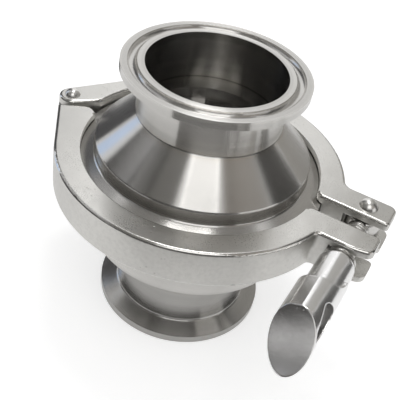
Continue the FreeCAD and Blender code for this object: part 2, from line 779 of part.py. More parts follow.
def clamp_channel(body, name):
    """Cut the inside of a clamp half: lips, sloping faces and the groove behind them."""
    back = flange_radius + clamp_gap
    slope = tan(back_angle)
    flange_half = seal_thickness / 2 + rim_thickness + clamp_gap / cos(back_angle)
    at_back = flange_half - clamp_gap * slope
    at_lip = flange_half + (flange_radius - clamp_lip) * slope
    over = clamp_height
    profile = outline(body, name + "_section", "XZ_Plane", [
        (ZERO, clamp_mid_z - over),
        (clamp_lip, clamp_mid_z - over),
        (clamp_lip, clamp_mid_z - at_lip),
        (back, clamp_mid_z - at_back),
        (back, clamp_mid_z + at_back),
        (clamp_lip, clamp_mid_z + at_lip),
        (clamp_lip, clamp_mid_z + over),
        (ZERO, clamp_mid_z + over),
    ])
    return revolve(body, name, profile, cut=True)


# The hinge block runs from the ring to the hinge along their common tangent:
# out is the tangent's own normal and along runs from the hinge to the ring
tangent_out = (clamp_outer - hinge_lobe) / hinge_x
tangent_along = root(1 - tangent_out * tangent_out)
# the back half's inner wall leaves the round end of its ears at half a right angle
ear_wall = size("ear_wall", 45.0, "slope of the back half's inner wall at the hinge, degrees")
ear_wall_x = hinge_lobe * sin(ear_wall) - hinge_x
ear_wall_y = -(hinge_lobe * cos(ear_wall))


def hinge_block(body, name, side):
    """Solid from the ring to the hinge; side is 1 for the back half, -1 for the front.

    The back half's block ends in the round ears. The front half's block ends beside
    the pin, and its tongue is added after the edges are rounded.
    """
    sign = as_size(side)
    first = (ear_wall_x, ear_wall_y, (-hinge_x, ZERO), hinge_lobe, -1)
    inner_end = (-clamp_lip, ear_wall_y - ear_wall_x - clamp_lip)
    if side < 0:
        first = (-hinge_x, sign * half_gap)
        inner_end = (-clamp_lip, sign * half_gap)
    block = outline(body, name + "_section", "XY_Plane", [
        first,
        (-(hinge_x + hinge_lobe * tangent_out), sign * hinge_lobe * tangent_along),
        (-(clamp_outer * tangent_out), sign * clamp_outer * tangent_along),
        (-(clamp_lip * tangent_out), sign * clamp_lip * tangent_along),
        inner_end,
    ], clamp_low_z)
    return pad(body, name, block, clamp_height)


def back_relief_cut(body):
    """Open the back half's inside at the hinge: wall of the ears, round lips, fade-out."""
    wide = clamp_lip + back_relief
    shift = ear_wall_y - ear_wall_x
    corner_x = -(shift + root(wide * wide * 2 - shift * shift)) / 2
    corner_y = corner_x + shift
    deep = clamp_lip - hinge_lobe * 2
    cut = outline(body, "back_relief_section", "XY_Plane", [
        (ear_wall_x, ear_wall_y),
        (corner_x, corner_y, (ZERO, ZERO), wide, -1),
        (wide * cos(back_relief_turn), wide * sin(back_relief_turn)),
        (clamp_lip * cos(back_relief_end), clamp_lip * sin(back_relief_end)),
        (deep * cos(back_relief_end), deep * sin(back_relief_end)),
        (-deep, ear_wall_y * 2),
        (ear_wall_x, ear_wall_y * 2),
    ], clamp_low_z)
    opened = pocket(body, "back_relief_cut", cut, clamp_height)
    return fillet(body, "back_relief_corner", opened,
                  upright_at(corner_x, corner_y), back_relief_round)


def lug_split(body, name, side, gap):
    """Cut the space between the lugs, with a round corner into the lips of the ring."""
    sign = as_size(side)
    middle = gap + gap_round
    reach = clamp_lip + gap_round
    centre_x = root(reach * reach - middle * middle)
    near_x = centre_x * clamp_lip / reach
    near_y = middle * clamp_lip / reach
    far = lug_end_x + lug_corner
    cut = outline(body, name + "_section", "XY_Plane", [
        (split_x, -sign * half_gap),
        (far, -sign * half_gap),
        (far, sign * gap),
        (centre_x, sign * gap, (centre_x, sign * middle), gap_round, -side),
        (near_x, sign * near_y),
        (split_x, sign * near_y),
    ], clamp_low_z)
    opened = pocket(body, name, cut, clamp_height)
    return fillet(body, name + "_corner", opened, upright_at(lug_end_x, sign * gap), gap_corner)


def half_ring(body, name, side):
    """Half disc that the ring is cut from."""
    sign = as_size(side)
    reach = root(clamp_outer * clamp_outer - half_gap * half_gap)
    centre = (ZERO, ZERO)
    half = outline(body, name + "_section", "XY_Plane", [
        (reach, sign * half_gap, centre, clamp_outer, side),
        (-reach, sign * half_gap),
    ], clamp_low_z)
    return pad(body, name, half, clamp_height)


def outer_edges(edge):
    """Test for the outline edges on a casting's top and bottom, the split line left out."""
    box = edge.BoundBox
    flat = box.ZMax - box.ZMin < NEAR
    level = min(abs(box.ZMin - clamp_low_z.value), abs(box.ZMin - clamp_high_z.value)) < NEAR
    if not flat or not level:
        return False
    if box.YMax - box.YMin < NEAR and abs(abs(box.YMax) - half_gap.value) < NEAR:
        return False
    reach = max(math.hypot(point.X, point.Y) for point in edge.Vertexes)
    return reach > clamp_lip.value + clamp_gap.value


ear_slot = (bolt_radius + tongue_gap) * 2
slot_low_z = clamp_mid_z - bolt_radius - tongue_gap
hinge_slot_low_z = clamp_low_z + hinge_ear
hinge_slot = clamp_height - hinge_ear * 2
ear_room = hinge_ear + tongue_gap


def back_clamp_half():
    """Fixed casting: hinge fork at -X and a forked lug with the bolt pin at +X."""
    body = new_body("back_clamp_half")
    half_ring(body, "back_ring", 1)
    hinge_block(body, "back_hinge", 1)
    lug = outline(body, "back_lug_section", "XY_Plane", [
        (lug_root_x, half_gap),
        (clamp_outer, half_gap),
        (lug_end_x, half_gap),
        (lug_end_x, back_lug_y),
        (lug_root_x, back_lug_y),
    ], clamp_low_z)
    lugged = pad(body, "back_lug", lug, clamp_height)
    cornered = fillet(body, "back_lug_corner", lugged,
                      upright_at(lug_end_x, back_lug_y), lug_corner)
    meet = root(clamp_outer * clamp_outer - back_lug_y * back_lug_y)
    fillet(body, "back_lug_blend", cornered, upright_at(meet, back_lug_y), back_blend)
    back_relief_cut(body)
    split = lug_split(body, "back_split", 1, back_gap)
    fillet(body, "back_edge_round", split, outer_edges, clamp_round)
    clamp_channel(body, "back_channel")
    slot_start = bolt_x - eye_radius - tongue_gap
    slot = outline(body, "back_slot_section", "XY_Plane", [
        (slot_start, ZERO),
        (lug_end_x + lug_corner, ZERO),
        (lug_end_x + lug_corner, back_lug_y + lug_corner),
        (slot_start, back_lug_y + lug_corner),
    ], slot_low_z)
    pocket(body, "back_slot", slot, ear_slot)
    fork = ring(body, "back_fork_section", "XY_Plane", (-hinge_x, ZERO),
                [hinge_lobe + hinge_gap], hinge_slot_low_z)
    pocket(body, "back_fork", fork, hinge_slot)
    beside = outline(body, "back_fork_side_section", "XY_Plane", [
        (-hinge_x, -hinge_lobe - hinge_gap),
        (-clamp_lip, -hinge_lobe - hinge_gap),
        (-clamp_lip, half_gap),
        (-hinge_x, half_gap),
    ], hinge_slot_low_z)
    pocket(body, "back_fork_side", beside, hinge_slot)
    pin = ring(body, "back_hinge_hole_section", "XY_Plane", (-hinge_x, ZERO),
               [hinge_pin_radius + press_gap], clamp_low_z)
    pocket(body, "back_hinge_hole", pin, clamp_height)
    bolt = ring(body, "back_bolt_hole_section", "XY_Plane", (bolt_x, bolt_pin_y),
                [bolt_pin_radius + press_gap], clamp_low_z)
    pocket(body, "back_bolt_hole", bolt, clamp_height)
    return body


def front_clamp_half():
    """Swinging casting: hinge tongue at -X and a slotted lug at +X."""
    body = new_body("front_clamp_half")
    half_ring(body, "front_ring", -1)
    hinge_block(body, "front_hinge", -1)
    swing = bolt_pin_y + front_lug_y
    reach = lug_end_x - bolt_x
    end_y = bolt_pin_y - root(swing * swing - reach * reach)
    lug = outline(body, "front_lug_section", "XY_Plane", [
        (lug_root_x, -half_gap),
        (lug_root_x, -front_lug_y),
        (bolt_x, -front_lug_y, (bolt_x, bolt_pin_y), swing, 1),
        (lug_end_x, end_y),
        (lug_end_x, -half_gap),
    ], clamp_low_z)
    lugged = pad(body, "front_lug", lug, clamp_height)
    meet = root(clamp_outer * clamp_outer - front_lug_y * front_lug_y)
    cornered = fillet(body, "front_lug_corner", lugged, upright_at(lug_end_x, end_y), lug_corner)
    fillet(body, "front_lug_blend", cornered, upright_at(meet, -front_lug_y), front_blend)
    for name, low in (("low", clamp_low_z), ("high", clamp_high_z - ear_room)):
        notch = outline(body, "front_notch_" + name + "_section", "XY_Plane",
                        hinge_notch(), low)
        pocket(body, "front_notch_" + name, notch, ear_room)
    split = lug_split(body, "front_split", -1, front_gap)
    fillet(body, "front_edge_round", split, outer_edges, clamp_round)
    tongue = ring(body, "front_tongue_section", "XY_Plane", (-hinge_x, ZERO),
                  [hinge_lobe], clamp_low_z + ear_room)
    pad(body, "front_tongue", tongue, clamp_height - ear_room * 2)
    clamp_channel(body, "front_channel")
    slot_start = bolt_x - bolt_radius - slot_side_gap
    slot = outline(body, "front_slot_section", "XY_Plane", [
        (slot_start, -front_lug_y - lug_corner),
        (lug_end_x + lug_corner, -front_lug_y - lug_corner),
        (lug_end_x + lug_corner, ZERO),
        (slot_start, ZERO),
    ], slot_low_z)
    pocket(body, "front_slot", slot, ear_slot)
    pin = ring(body, "front_hinge_hole_section", "XY_Plane", (-hinge_x, ZERO),
               [hinge_pin_radius + running_gap], clamp_low_z)
    pocket(body, "front_hinge_hole", pin, clamp_height)
    return body


def hinge_notch():
    """Room beside the tongue for the fork's ears, with a round corner into the lips.

    The shoulder runs square to the outer tangent of the hinge block. The corner is an
    arc that touches the shoulder and the lips.
    """
    out = front_end_round + hinge_shoulder
    reach = clamp_lip + front_end_round
    # the arc's centre, measured along the shoulder from the foot of the pin
    middle = hinge_x * tangent_out
    rest = hinge_x * hinge_x + out * out - out * hinge_x * tangent_along * 2 - reach * reach
    slide = middle - root(middle * middle - rest)
    centre_x = out * tangent_along + slide * tangent_out - hinge_x
    centre_y = slide * tangent_along - out * tangent_out
    start_x = centre_x - front_end_round * tangent_along
    start_y = centre_y + front_end_round * tangent_out
    far = hinge_lobe * 4
    far_x = hinge_shoulder * tangent_along - hinge_x - far * tangent_out
    far_y = -(hinge_shoulder * tangent_out) - far * tangent_along
    return [
        (start_x, start_y, (centre_x, centre_y), front_end_round, -1),
        (centre_x * clamp_lip / reach, centre_y * clamp_lip / reach),
        (-(clamp_lip / 2), centre_y * clamp_lip / reach),
        (-(clamp_lip / 2), hinge_lobe),
        (-(hinge_x + far), hinge_lobe),
        (-(hinge_x + far), far_y),
        (far_x, far_y),
    ]


def riveted_pin(name, x, y, shank, head, head_height):
    """Pin through both ears with a domed head at each end."""
    body = new_body(name)
    dome = (head * head + head_height * head_height) / (head_height * 2)
    top = clamp_height / 2
    profile = outline(body, name + "_profile", "XZ_Plane", [
        (ZERO, -top - head_height, (ZERO, dome - top - head_height), dome, 1),
        (head, -top),
        (shank, -top),
        (shank, top),
        (head, top, (ZERO, top + head_height - dome), dome, 1),
        (ZERO, top + head_height),
    ])
    revolve(body, name + "_turned", profile)
    place(body, x, y, clamp_mid_z)
    return body


def eye_bolt():
    """Forged bolt that swings about its pin, modelled with the pin at its origin."""
    body = new_body("eye_bolt")
    eye = ring(body, "eye_section", "XY_Plane", (ZERO, ZERO), [eye_radius], -eye_height / 2)
    pad(body, "eye", eye, eye_height)
    shank = ring(body, "shank_section", "XZ_Plane", (ZERO, ZERO), [bolt_radius])
    rod = pad(body, "shank", shank, bolt_length)
    doc.recompute()

    def tip(edge):
        return isinstance(edge.Curve, Part.Circle) and edge.Curve.Center.y < 1 - bolt_length.value

    tipped = chamfer(body, "shank_tip", rod, tip, bolt_tip)
    hole = ring(body, "eye_hole_section", "XY_Plane", (ZERO, ZERO),
                [bolt_pin_radius + running_gap], -bolt_radius)
    pocket(body, "eye_hole", hole, bolt_radius * 2)
    place(body, bolt_x, bolt_pin_y, clamp_mid_z)
    return body


def along_bolt(item, distance):
    """Stand an item on the front lug: its own +Z runs out along the bolt."""
    item.Placement.Rotation = (
        FreeCAD.Rotation(FreeCAD.Vector(0, 1, 0), -nut_turn)
        * FreeCAD.Rotation(FreeCAD.Vector(1, 0, 0), 90)
    )
    place(item, bolt_x, -front_lug_y - distance, clamp_mid_z)


def nut_washer():
    """Plain washer between the nut and the front lug."""
    body = new_body("nut_washer")
    section = ring(body, "washer_section", "XY_Plane", (ZERO, ZERO),
                   [washer_radius, bolt_radius + running_gap])
    pad(body, "washer", section, washer_thickness)
    along_bolt(body, washer_gap)
    return body


def clamp_nut():
    """Cast handle nut: domed barrel, offset round handle, window and thumb face.

    The nut's own +Z runs out along the bolt and its own +Y is the side of the flat.
    """
    body = new_body("clamp_nut")
    handle = ring(body, "nut_handle_section", "XY_Plane", (ZERO, nut_handle_rise),
                  [nut_handle_radius], nut_handle_start)
    pad(body, "nut_handle", handle, nut_length - nut_handle_start)
    wide = nut_handle_radius * 2
    over = nut_flat + nut_handle_radius
    flat = outline(body, "nut_flat_section", "YZ_Plane", [
        (nut_flat, ZERO),
        (over, ZERO),
        (over, nut_length),
        (nut_flat, nut_length),
    ], -wide)
    pocket(body, "nut_flat_cut", flat, wide * 2)
    scoop = outline(body, "nut_scoop_section", "YZ_Plane", [
        (nut_scoop_rise - nut_scoop_round, nut_handle_start / 2),
        (over, nut_handle_start / 2),
        (over, nut_scoop_place + nut_scoop_round),
        (nut_scoop_rise, nut_scoop_place + nut_scoop_round,
         (nut_scoop_rise, nut_scoop_place), nut_scoop_round, 1),
        (nut_scoop_rise - nut_scoop_round, nut_scoop_place),
    ], -wide)
    pocket(body, "nut_scoop", scoop, wide * 2)
    barrel = outline(body, "nut_barrel_profile", "XZ_Plane", [
        (ZERO, ZERO),
        (nut_hub_radius - nut_dome, ZERO, (nut_hub_radius - nut_dome, nut_dome), nut_dome, 1),
        (nut_hub_radius, nut_dome),
        (nut_hub_radius, nut_hub_length),
        (ZERO, nut_hub_length),
    ])
    revolve(body, "nut_barrel", barrel)
    # the thumb face is hollow: an arc through its two ends
    low = nut_handle_rise - nut_handle_radius
    run = nut_length - nut_face_start
    drop = nut_flat - low
    chord = root(run * run + drop * drop)
    reach = root(nut_face_dish * nut_face_dish - chord * chord / 4)
    centre_y = (nut_flat + low) / 2 + run * reach / chord
    centre_z = (nut_face_start + nut_length) / 2 + drop * reach / chord
    face = outline(body, "nut_face_section", "YZ_Plane", [
        (nut_flat, nut_face_start),
        (over, nut_face_start),
        (over, nut_length + run),
        (low, nut_length + run),
        (low, nut_length, (centre_y, centre_z), nut_face_dish, 1),
    ], -wide)
    pocket(body, "nut_thumb_face", face, wide * 2)
    fall = window_near_rise - window_far_rise
    along = window_far - window_near
    slant = root(fall * fall + along * along)
    out_y = window_round * along / slant
    out_z = window_round * fall / slant
    window = outline(body, "nut_window_section", "YZ_Plane", [
        (window_near_rise - out_y, window_near - out_z,
         (window_near_rise, window_near), window_round, 1),
        (window_near_rise + out_y, window_near + out_z),
        (window_far_rise + out_y, window_far + out_z,
         (window_far_rise, window_far), window_round, 1),
        (window_far_rise - out_y, window_far - out_z),
    ], -wide)
    pocket(body, "nut_window", window, wide * 2)
    bore = ring(body, "nut_bore_section", "XY_Plane", (ZERO, ZERO), [bolt_radius + running_gap])
    pocket(body, "nut_bore", bore, window_near)
    along_bolt(body, washer_gap + washer_thickness + nut_gap)
    return body


pieces = [
    inlet_ferrule(),
    lower_body(),
    body_seal_ring(),
    upper_body(),
    outlet_ferrule(),
    guide_spider(),
    guide_bush(),
    valve_disc(),
    valve_stem(),
    plug_seal(),
    seal_retainer(),
    plug_nut(),
    return_spring(),
    back_clamp_half(),
    front_clamp_half(),
    riveted_pin("hinge_pin", -hinge_x, ZERO, hinge_pin_radius, hinge_head_radius,
                hinge_head_height),
    riveted_pin("bolt_pin", bolt_x, bolt_pin_y, bolt_pin_radius, bolt_head_radius,
                bolt_head_height),
    eye_bolt(),
    nut_washer(),
    clamp_nut(),
]

doc.recompute()
for item in doc.Objects:
    if "Invalid" in item.State or "Error" in item.State:
        raise RuntimeError(item.Name + " failed: " + str(item.State))
for piece in pieces:
    if piece.Shape.isNull() or not piece.Shape.isValid():
        raise RuntimeError(piece.Label + " has no valid shape")

os.makedirs("parts", exist_ok=True)
for piece in pieces:
    piece.Shape.exportStep("parts/" + piece.Label + ".step")
    box = piece.Shape.BoundBox
    print(piece.Label, len(piece.Shape.Solids), "solid", round(piece.Shape.Volume, 1), "mm3, z",
          round(box.ZMin, 2), "to", round(box.ZMax, 2))
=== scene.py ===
import json
import math

import bpy
import numpy as np
from bpy.props import FloatProperty, FloatVectorProperty, PointerProperty
from mathutils import Matrix, Vector

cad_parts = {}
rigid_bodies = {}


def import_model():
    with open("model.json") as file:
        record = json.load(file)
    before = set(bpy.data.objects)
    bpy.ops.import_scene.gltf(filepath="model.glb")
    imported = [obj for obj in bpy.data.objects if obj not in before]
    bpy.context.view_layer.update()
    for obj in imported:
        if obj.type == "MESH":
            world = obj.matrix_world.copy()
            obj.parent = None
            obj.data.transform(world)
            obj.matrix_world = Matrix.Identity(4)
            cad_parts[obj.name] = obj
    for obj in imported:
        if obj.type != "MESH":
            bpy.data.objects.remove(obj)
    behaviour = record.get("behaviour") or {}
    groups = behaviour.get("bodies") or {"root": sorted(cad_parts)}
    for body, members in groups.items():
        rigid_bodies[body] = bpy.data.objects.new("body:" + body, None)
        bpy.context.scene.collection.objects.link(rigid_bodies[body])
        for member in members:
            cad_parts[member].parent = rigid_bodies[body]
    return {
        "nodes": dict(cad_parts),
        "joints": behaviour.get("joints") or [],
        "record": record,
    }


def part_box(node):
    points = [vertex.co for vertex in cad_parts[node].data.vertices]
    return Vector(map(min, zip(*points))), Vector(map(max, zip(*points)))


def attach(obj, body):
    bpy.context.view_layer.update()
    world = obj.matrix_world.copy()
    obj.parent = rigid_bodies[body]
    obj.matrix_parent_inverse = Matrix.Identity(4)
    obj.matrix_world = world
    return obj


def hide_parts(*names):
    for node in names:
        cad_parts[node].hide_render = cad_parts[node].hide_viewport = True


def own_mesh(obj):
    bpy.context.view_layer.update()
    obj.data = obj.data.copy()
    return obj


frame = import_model()

bl_info = {
    "name": "Sanitary non-return valve",
    "version": (1, 0, 0),
    "blender": (4, 5, 0),
    "location": "View3D > Sidebar > Valve",
    "description": (
        "Steel finishes, bolt thread, return spring and studio for a spring-loaded pipe valve"),
    "category": "Object",
}

FULL_TURN = 2 * math.pi

# Measures that the frame gives, in metres

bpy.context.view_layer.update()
BOLT_LOW, BOLT_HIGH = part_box("eye_bolt")
SPRING_LOW, SPRING_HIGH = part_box("return_spring")
UPPER_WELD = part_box("outlet_ferrule")[0].z
LOWER_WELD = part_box("inlet_ferrule")[1].z
LIFT = next(j for j in frame["joints"] if j["name"] == "plug_lift")["range_m"][1]
NUT_TRAVEL = next(
    c for c in frame["record"]["behaviour"]["couplings"] if c["joint"] == "nut_travel")
THREAD_PITCH = NUT_TRAVEL["ratio"] * FULL_TURN

# Finishes: weight of height against radius where lathe rings are numbered, the turn of
# the blur across those rings, and the reach of the bevels that soften cast edges

RING_SLOPE = 0.8
BLUR_ACROSS_RINGS = 0.25
CLAMP_EDGE = 0.00035
NUT_EDGE = 0.0006

# Welds of the pipe ends: how far from the seam each mark ends and where it is full, and
# what the heat leaves of red, green and blue

HEAT_BAND = (0.0022, 0.0003)
SEAM_LINE = (0.00040, 0.00012)
HEAT_TINT = (0.86, 0.78, 0.66)

# Stage: heights of the floor, of the shades just over it and of the point that the
# boards and lamps face, and the points along each mirrored sheet

FLOOR_HEIGHT = -0.00005
SHADE_HEIGHT = 0.0002
AIM_HEIGHT = 0.06
SHEET_ROWS, SHEET_COLUMNS = 7, 13

# Boards that the steel mirrors: azimuths and heights in degrees, and a colour

BOARDS = (
    ("ceiling_board", (-180, 180), (60, 90), (0.30, 0.295, 0.285)),
    ("left_board", (-118, -88), (26, 60), (0.235, 0.23, 0.22)),
    ("left_corner_board", (-142, -136), (26, 60), (0.10, 0.098, 0.094)),
    ("left_upper_board", (-136, -118), (37, 60), (0.10, 0.098, 0.094)),
    ("thumb_board", (-136, -118), (26, 37), (0.58, 0.575, 0.57)),
    ("low_left_board", (-172, -142), (26, 31), (0.18, 0.175, 0.17)),
    ("high_left_board", (-178, -142), (31, 60), (0.47, 0.47, 0.48)),
    ("soft_box_back", (-78, -40), (30, 60), (0.27, 0.265, 0.26)),
    ("camera_side_board", (-170, -24), (-6, 26), (0.05, 0.048, 0.046)),
    ("window_board", (172, 182), (-4, 34), (0.80, 0.98, 1.30)),
    ("back_left_board", (136, 168), (-14, 56), (0.10, 0.10, 0.105)),
    ("right_board", (16, 50), (-4, 56), (0.09, 0.088, 0.085)),
    ("high_right_board", (-32, 14), (24, 60), (0.36, 0.335, 0.31)),
    ("back_right_board", (52, 94), (-3, 54), (0.40, 0.39, 0.37)),
    ("rear_strip", (108, 122), (46, 60), (4.2, 4.2, 4.2)),
)

# Shades on the floor that the steel mirrors: azimuths in degrees, distances from the
# valve's axis in metres, and a colour

SHADES = (
    ("camera_side_shade", (-106, -22), (0.135, 0.7), (0.19, 0.185, 0.18)),
    ("back_left_shade", (136, 170), (0.32, 1.0), (0.13, 0.13, 0.135)),
    ("left_foot_shade", (118, 152), (0.10, 0.24), (0.04, 0.04, 0.04)),
    ("back_right_shade", (58, 104), (0.34, 1.0), (0.36, 0.35, 0.34)),
)

# The camera's place and axes, and its lens and sensor in millimetres

CAMERA_PLACE = Vector((0.0804077, -0.1926310, 0.2160550))
CAMERA_RIGHT = Vector((0.8658524, 0.4786657, 0.1455294))
CAMERA_UP = Vector((-0.4079949, 0.5072193, 0.7591237))
CAMERA_BACK = Vector((0.2895512, -0.7166643, 0.6344702))
CAMERA_LENS = 64.628
CAMERA_SENSOR = 36
CAMERA_CLIP = 0.01


# Sizes and colours that can be changed


class SteelSettings(bpy.types.PropertyGroup):
    """Colours and surface of the steel pieces."""

    turned_colour: FloatVectorProperty(
        name="Turned steel", description="Colour of the pipe ends and cones",
        subtype="COLOR", size=3, min=0, max=1, default=(0.590, 0.578, 0.556))
    turned_roughness: FloatProperty(
        name="Turned roughness", description="Blur of reflections in the turned steel",
        subtype="FACTOR", min=0.02, max=1, default=0.17)
    tool_mark_spacing: FloatProperty(
        name="Tool mark spacing", description="Distance between fine marks left by the lathe",
        unit="LENGTH", precision=6, min=0.00002, max=0.002, default=0.00026)
    tool_mark_depth: FloatProperty(
        name="Tool mark depth", description="Depth of the fine marks left by the lathe",
        unit="LENGTH", precision=7, min=0, max=0.0001, default=0.0000032)
    cast_colour: FloatVectorProperty(
        name="Cast steel", description="Colour of the two clamp halves",
        subtype="COLOR", size=3, min=0, max=1, default=(0.660, 0.650, 0.624))
    cast_roughness: FloatProperty(
        name="Cast roughness", description="Blur of reflections in the blasted casting",
        subtype="FACTOR", min=0.02, max=1, default=0.34)
    cast_grain: FloatProperty(
        name="Casting grain", description="Size of the grain on the clamp's outer wall",
        unit="LENGTH", precision=6, min=0.0001, max=0.005, default=0.00075)
    polished_colour: FloatVectorProperty(
        name="Polished steel", description="Colour of the handle nut",
        subtype="COLOR", size=3, min=0, max=1, default=(0.870, 0.865, 0.860))
    polished_roughness: FloatProperty(
        name="Polished roughness", description="Blur of reflections in the tumbled handle nut",
        subtype="FACTOR", min=0.02, max=1, default=0.16)
    bright_colour: FloatVectorProperty(
        name="Bright steel",
        description="Colour of the pins, washer, bolt, spring, guide and plug",
        subtype="COLOR", size=3, min=0, max=1, default=(0.600, 0.590, 0.570))


class SoftSettings(bpy.types.PropertyGroup):
    """Colours of the seals and the guide bush."""

    rubber_colour: FloatVectorProperty(
        name="Seal rubber", description="Colour of the body seal and the plug seal",
        subtype="COLOR", size=3, min=0, max=1, default=(0.018, 0.018, 0.019))
    bush_colour: FloatVectorProperty(
        name="Guide bush", description="Colour of the stem's bearing bush",
        subtype="COLOR", size=3, min=0, max=1, default=(0.74, 0.72, 0.66))


class BoltSettings(bpy.types.PropertyGroup):
    """Thread and eye of the clamp's swing bolt."""

    pitch: FloatProperty(
        name="Thread pitch", description="Advance of the nut in one turn",
        unit="LENGTH", precision=6, min=0.0005, max=0.003, default=THREAD_PITCH)
    thread_depth: FloatProperty(
        name="Thread depth", description="From the crest of the thread to its root",
        unit="LENGTH", precision=6, min=0.0001, max=0.0015, default=0.00080)
    shank_radius: FloatProperty(
        name="Shank radius", description="Outside of the thread",
        unit="LENGTH", precision=5, min=0.002, max=0.006, default=0.0039)
    eye_radius: FloatProperty(
        name="Eye radius", description="Outside of the bolt's eye",
        unit="LENGTH", precision=5, min=0.004, max=0.009, default=0.0063)
    eye_height: FloatProperty(
        name="Eye height", description="Eye along its pin",
        unit="LENGTH", precision=5, min=0.004, max=0.009, default=0.0072)
    pin_radius: FloatProperty(
        name="Hole radius", description="Hole for the bolt's pin",
        unit="LENGTH", precision=5, min=0.001, max=0.004, default=0.00265)
    eye_round: FloatProperty(
        name="Eye rounding", description="Rounded rims of the eye",
        unit="LENGTH", precision=5, min=0.0001, max=0.002, default=0.0009)


class SpringSettings(bpy.types.PropertyGroup):
    """Wire of the return spring."""

    turns: FloatProperty(
        name="Turns", description="All turns, the closed ones at the ends among them",
        min=3, max=6, default=5.0)
    wire_radius: FloatProperty(
        name="Wire radius", description="Half the thickness of the wire",
        unit="LENGTH", precision=5, min=0.0004, max=0.0015, default=0.0008)
    closed: FloatProperty(
        name="Closed share", description="Share of a turn at each end that lies flat",
        subtype="FACTOR", min=0.2, max=1.0, default=0.75)


class StudioSettings(bpy.types.PropertyGroup):
    """Light, floor and boards round the valve."""

    key_power: FloatProperty(
        name="Soft box", description="Power of the soft box above the camera",
        unit="POWER", min=0, max=20, default=1.2)
    ceiling_power: FloatProperty(
        name="Ceiling lamp", description="Power of the small lamp overhead",
        unit="POWER", min=0, max=20, default=1.2)
    daylight: FloatProperty(
        name="Room light", description="Even light from all round",
        min=0, max=2, default=0.57)
    floor_colour: FloatVectorProperty(
        name="Floor", description="Colour of the floor",
        subtype="COLOR", size=3, min=0, max=1, default=(0.80, 0.80, 0.80))
    floor_lift: FloatProperty(
        name="Floor whiteness", description="How far the seen floor is lifted to white",
        min=0, max=1, default=0.50)
    floor_gleam: FloatProperty(
        name="Mirrored floor", description="How far the floor is lifted in reflections",
        min=0, max=1, default=0.30)
    board_distance: FloatProperty(
        name="Board distance", description="From the valve to the boards that its steel mirrors",
        unit="LENGTH", min=0.3, max=3, default=1.0)


# Data blocks and shader arithmetic


def fresh(store, name, *data):
    """New data block; one with this name that a former run left is removed first."""
    old = store.get(name)
    if old is not None:
        store.remove(old)
    return store.new(name, *data)


def placed(name, data):
    """Object of a mesh, lamp or camera, linked to the scene."""
    item = fresh(bpy.data.objects, name, data)
    bpy.context.scene.collection.objects.link(item)
    return item


class Wire:
    """A value on its way through a shader; arithmetic on it adds Math nodes."""

    def __init__(self, graph, socket):
        self.graph = graph
        self.socket = socket

    def maths(self, operation, *values):
        return self.graph.add("ShaderNodeMath", {"operation": operation}, dict(enumerate(values)))

    def __add__(self, other):
        return self.maths("ADD", self, other)

    def __radd__(self, other):
        return self.maths("ADD", other, self)

    def __sub__(self, other):
        return self.maths("SUBTRACT", self, other)

    def __rsub__(self, other):
        return self.maths("SUBTRACT", other, self)

    def __mul__(self, other):
        return self.maths("MULTIPLY", self, other)

    def __rmul__(self, other):
        return self.maths("MULTIPLY", other, self)

    def __pow__(self, other):
        return self.maths("POWER", self, other)

    def __abs__(self):
        return self.maths("ABSOLUTE", self)

    def larger(self, other):
        """The larger of two values."""
        return self.maths("MAXIMUM", self, other)

    def smooth(self, low, high):
        """0 below low, 1 above high and an easy curve between; low may be the larger."""
        if low > high:
            return 1 - self.smooth(high, low)
        return self.graph.add(
            "ShaderNodeMapRange", {"interpolation_type": "SMOOTHSTEP"},
            {"Value": self, "From Min": low, "From Max": high})


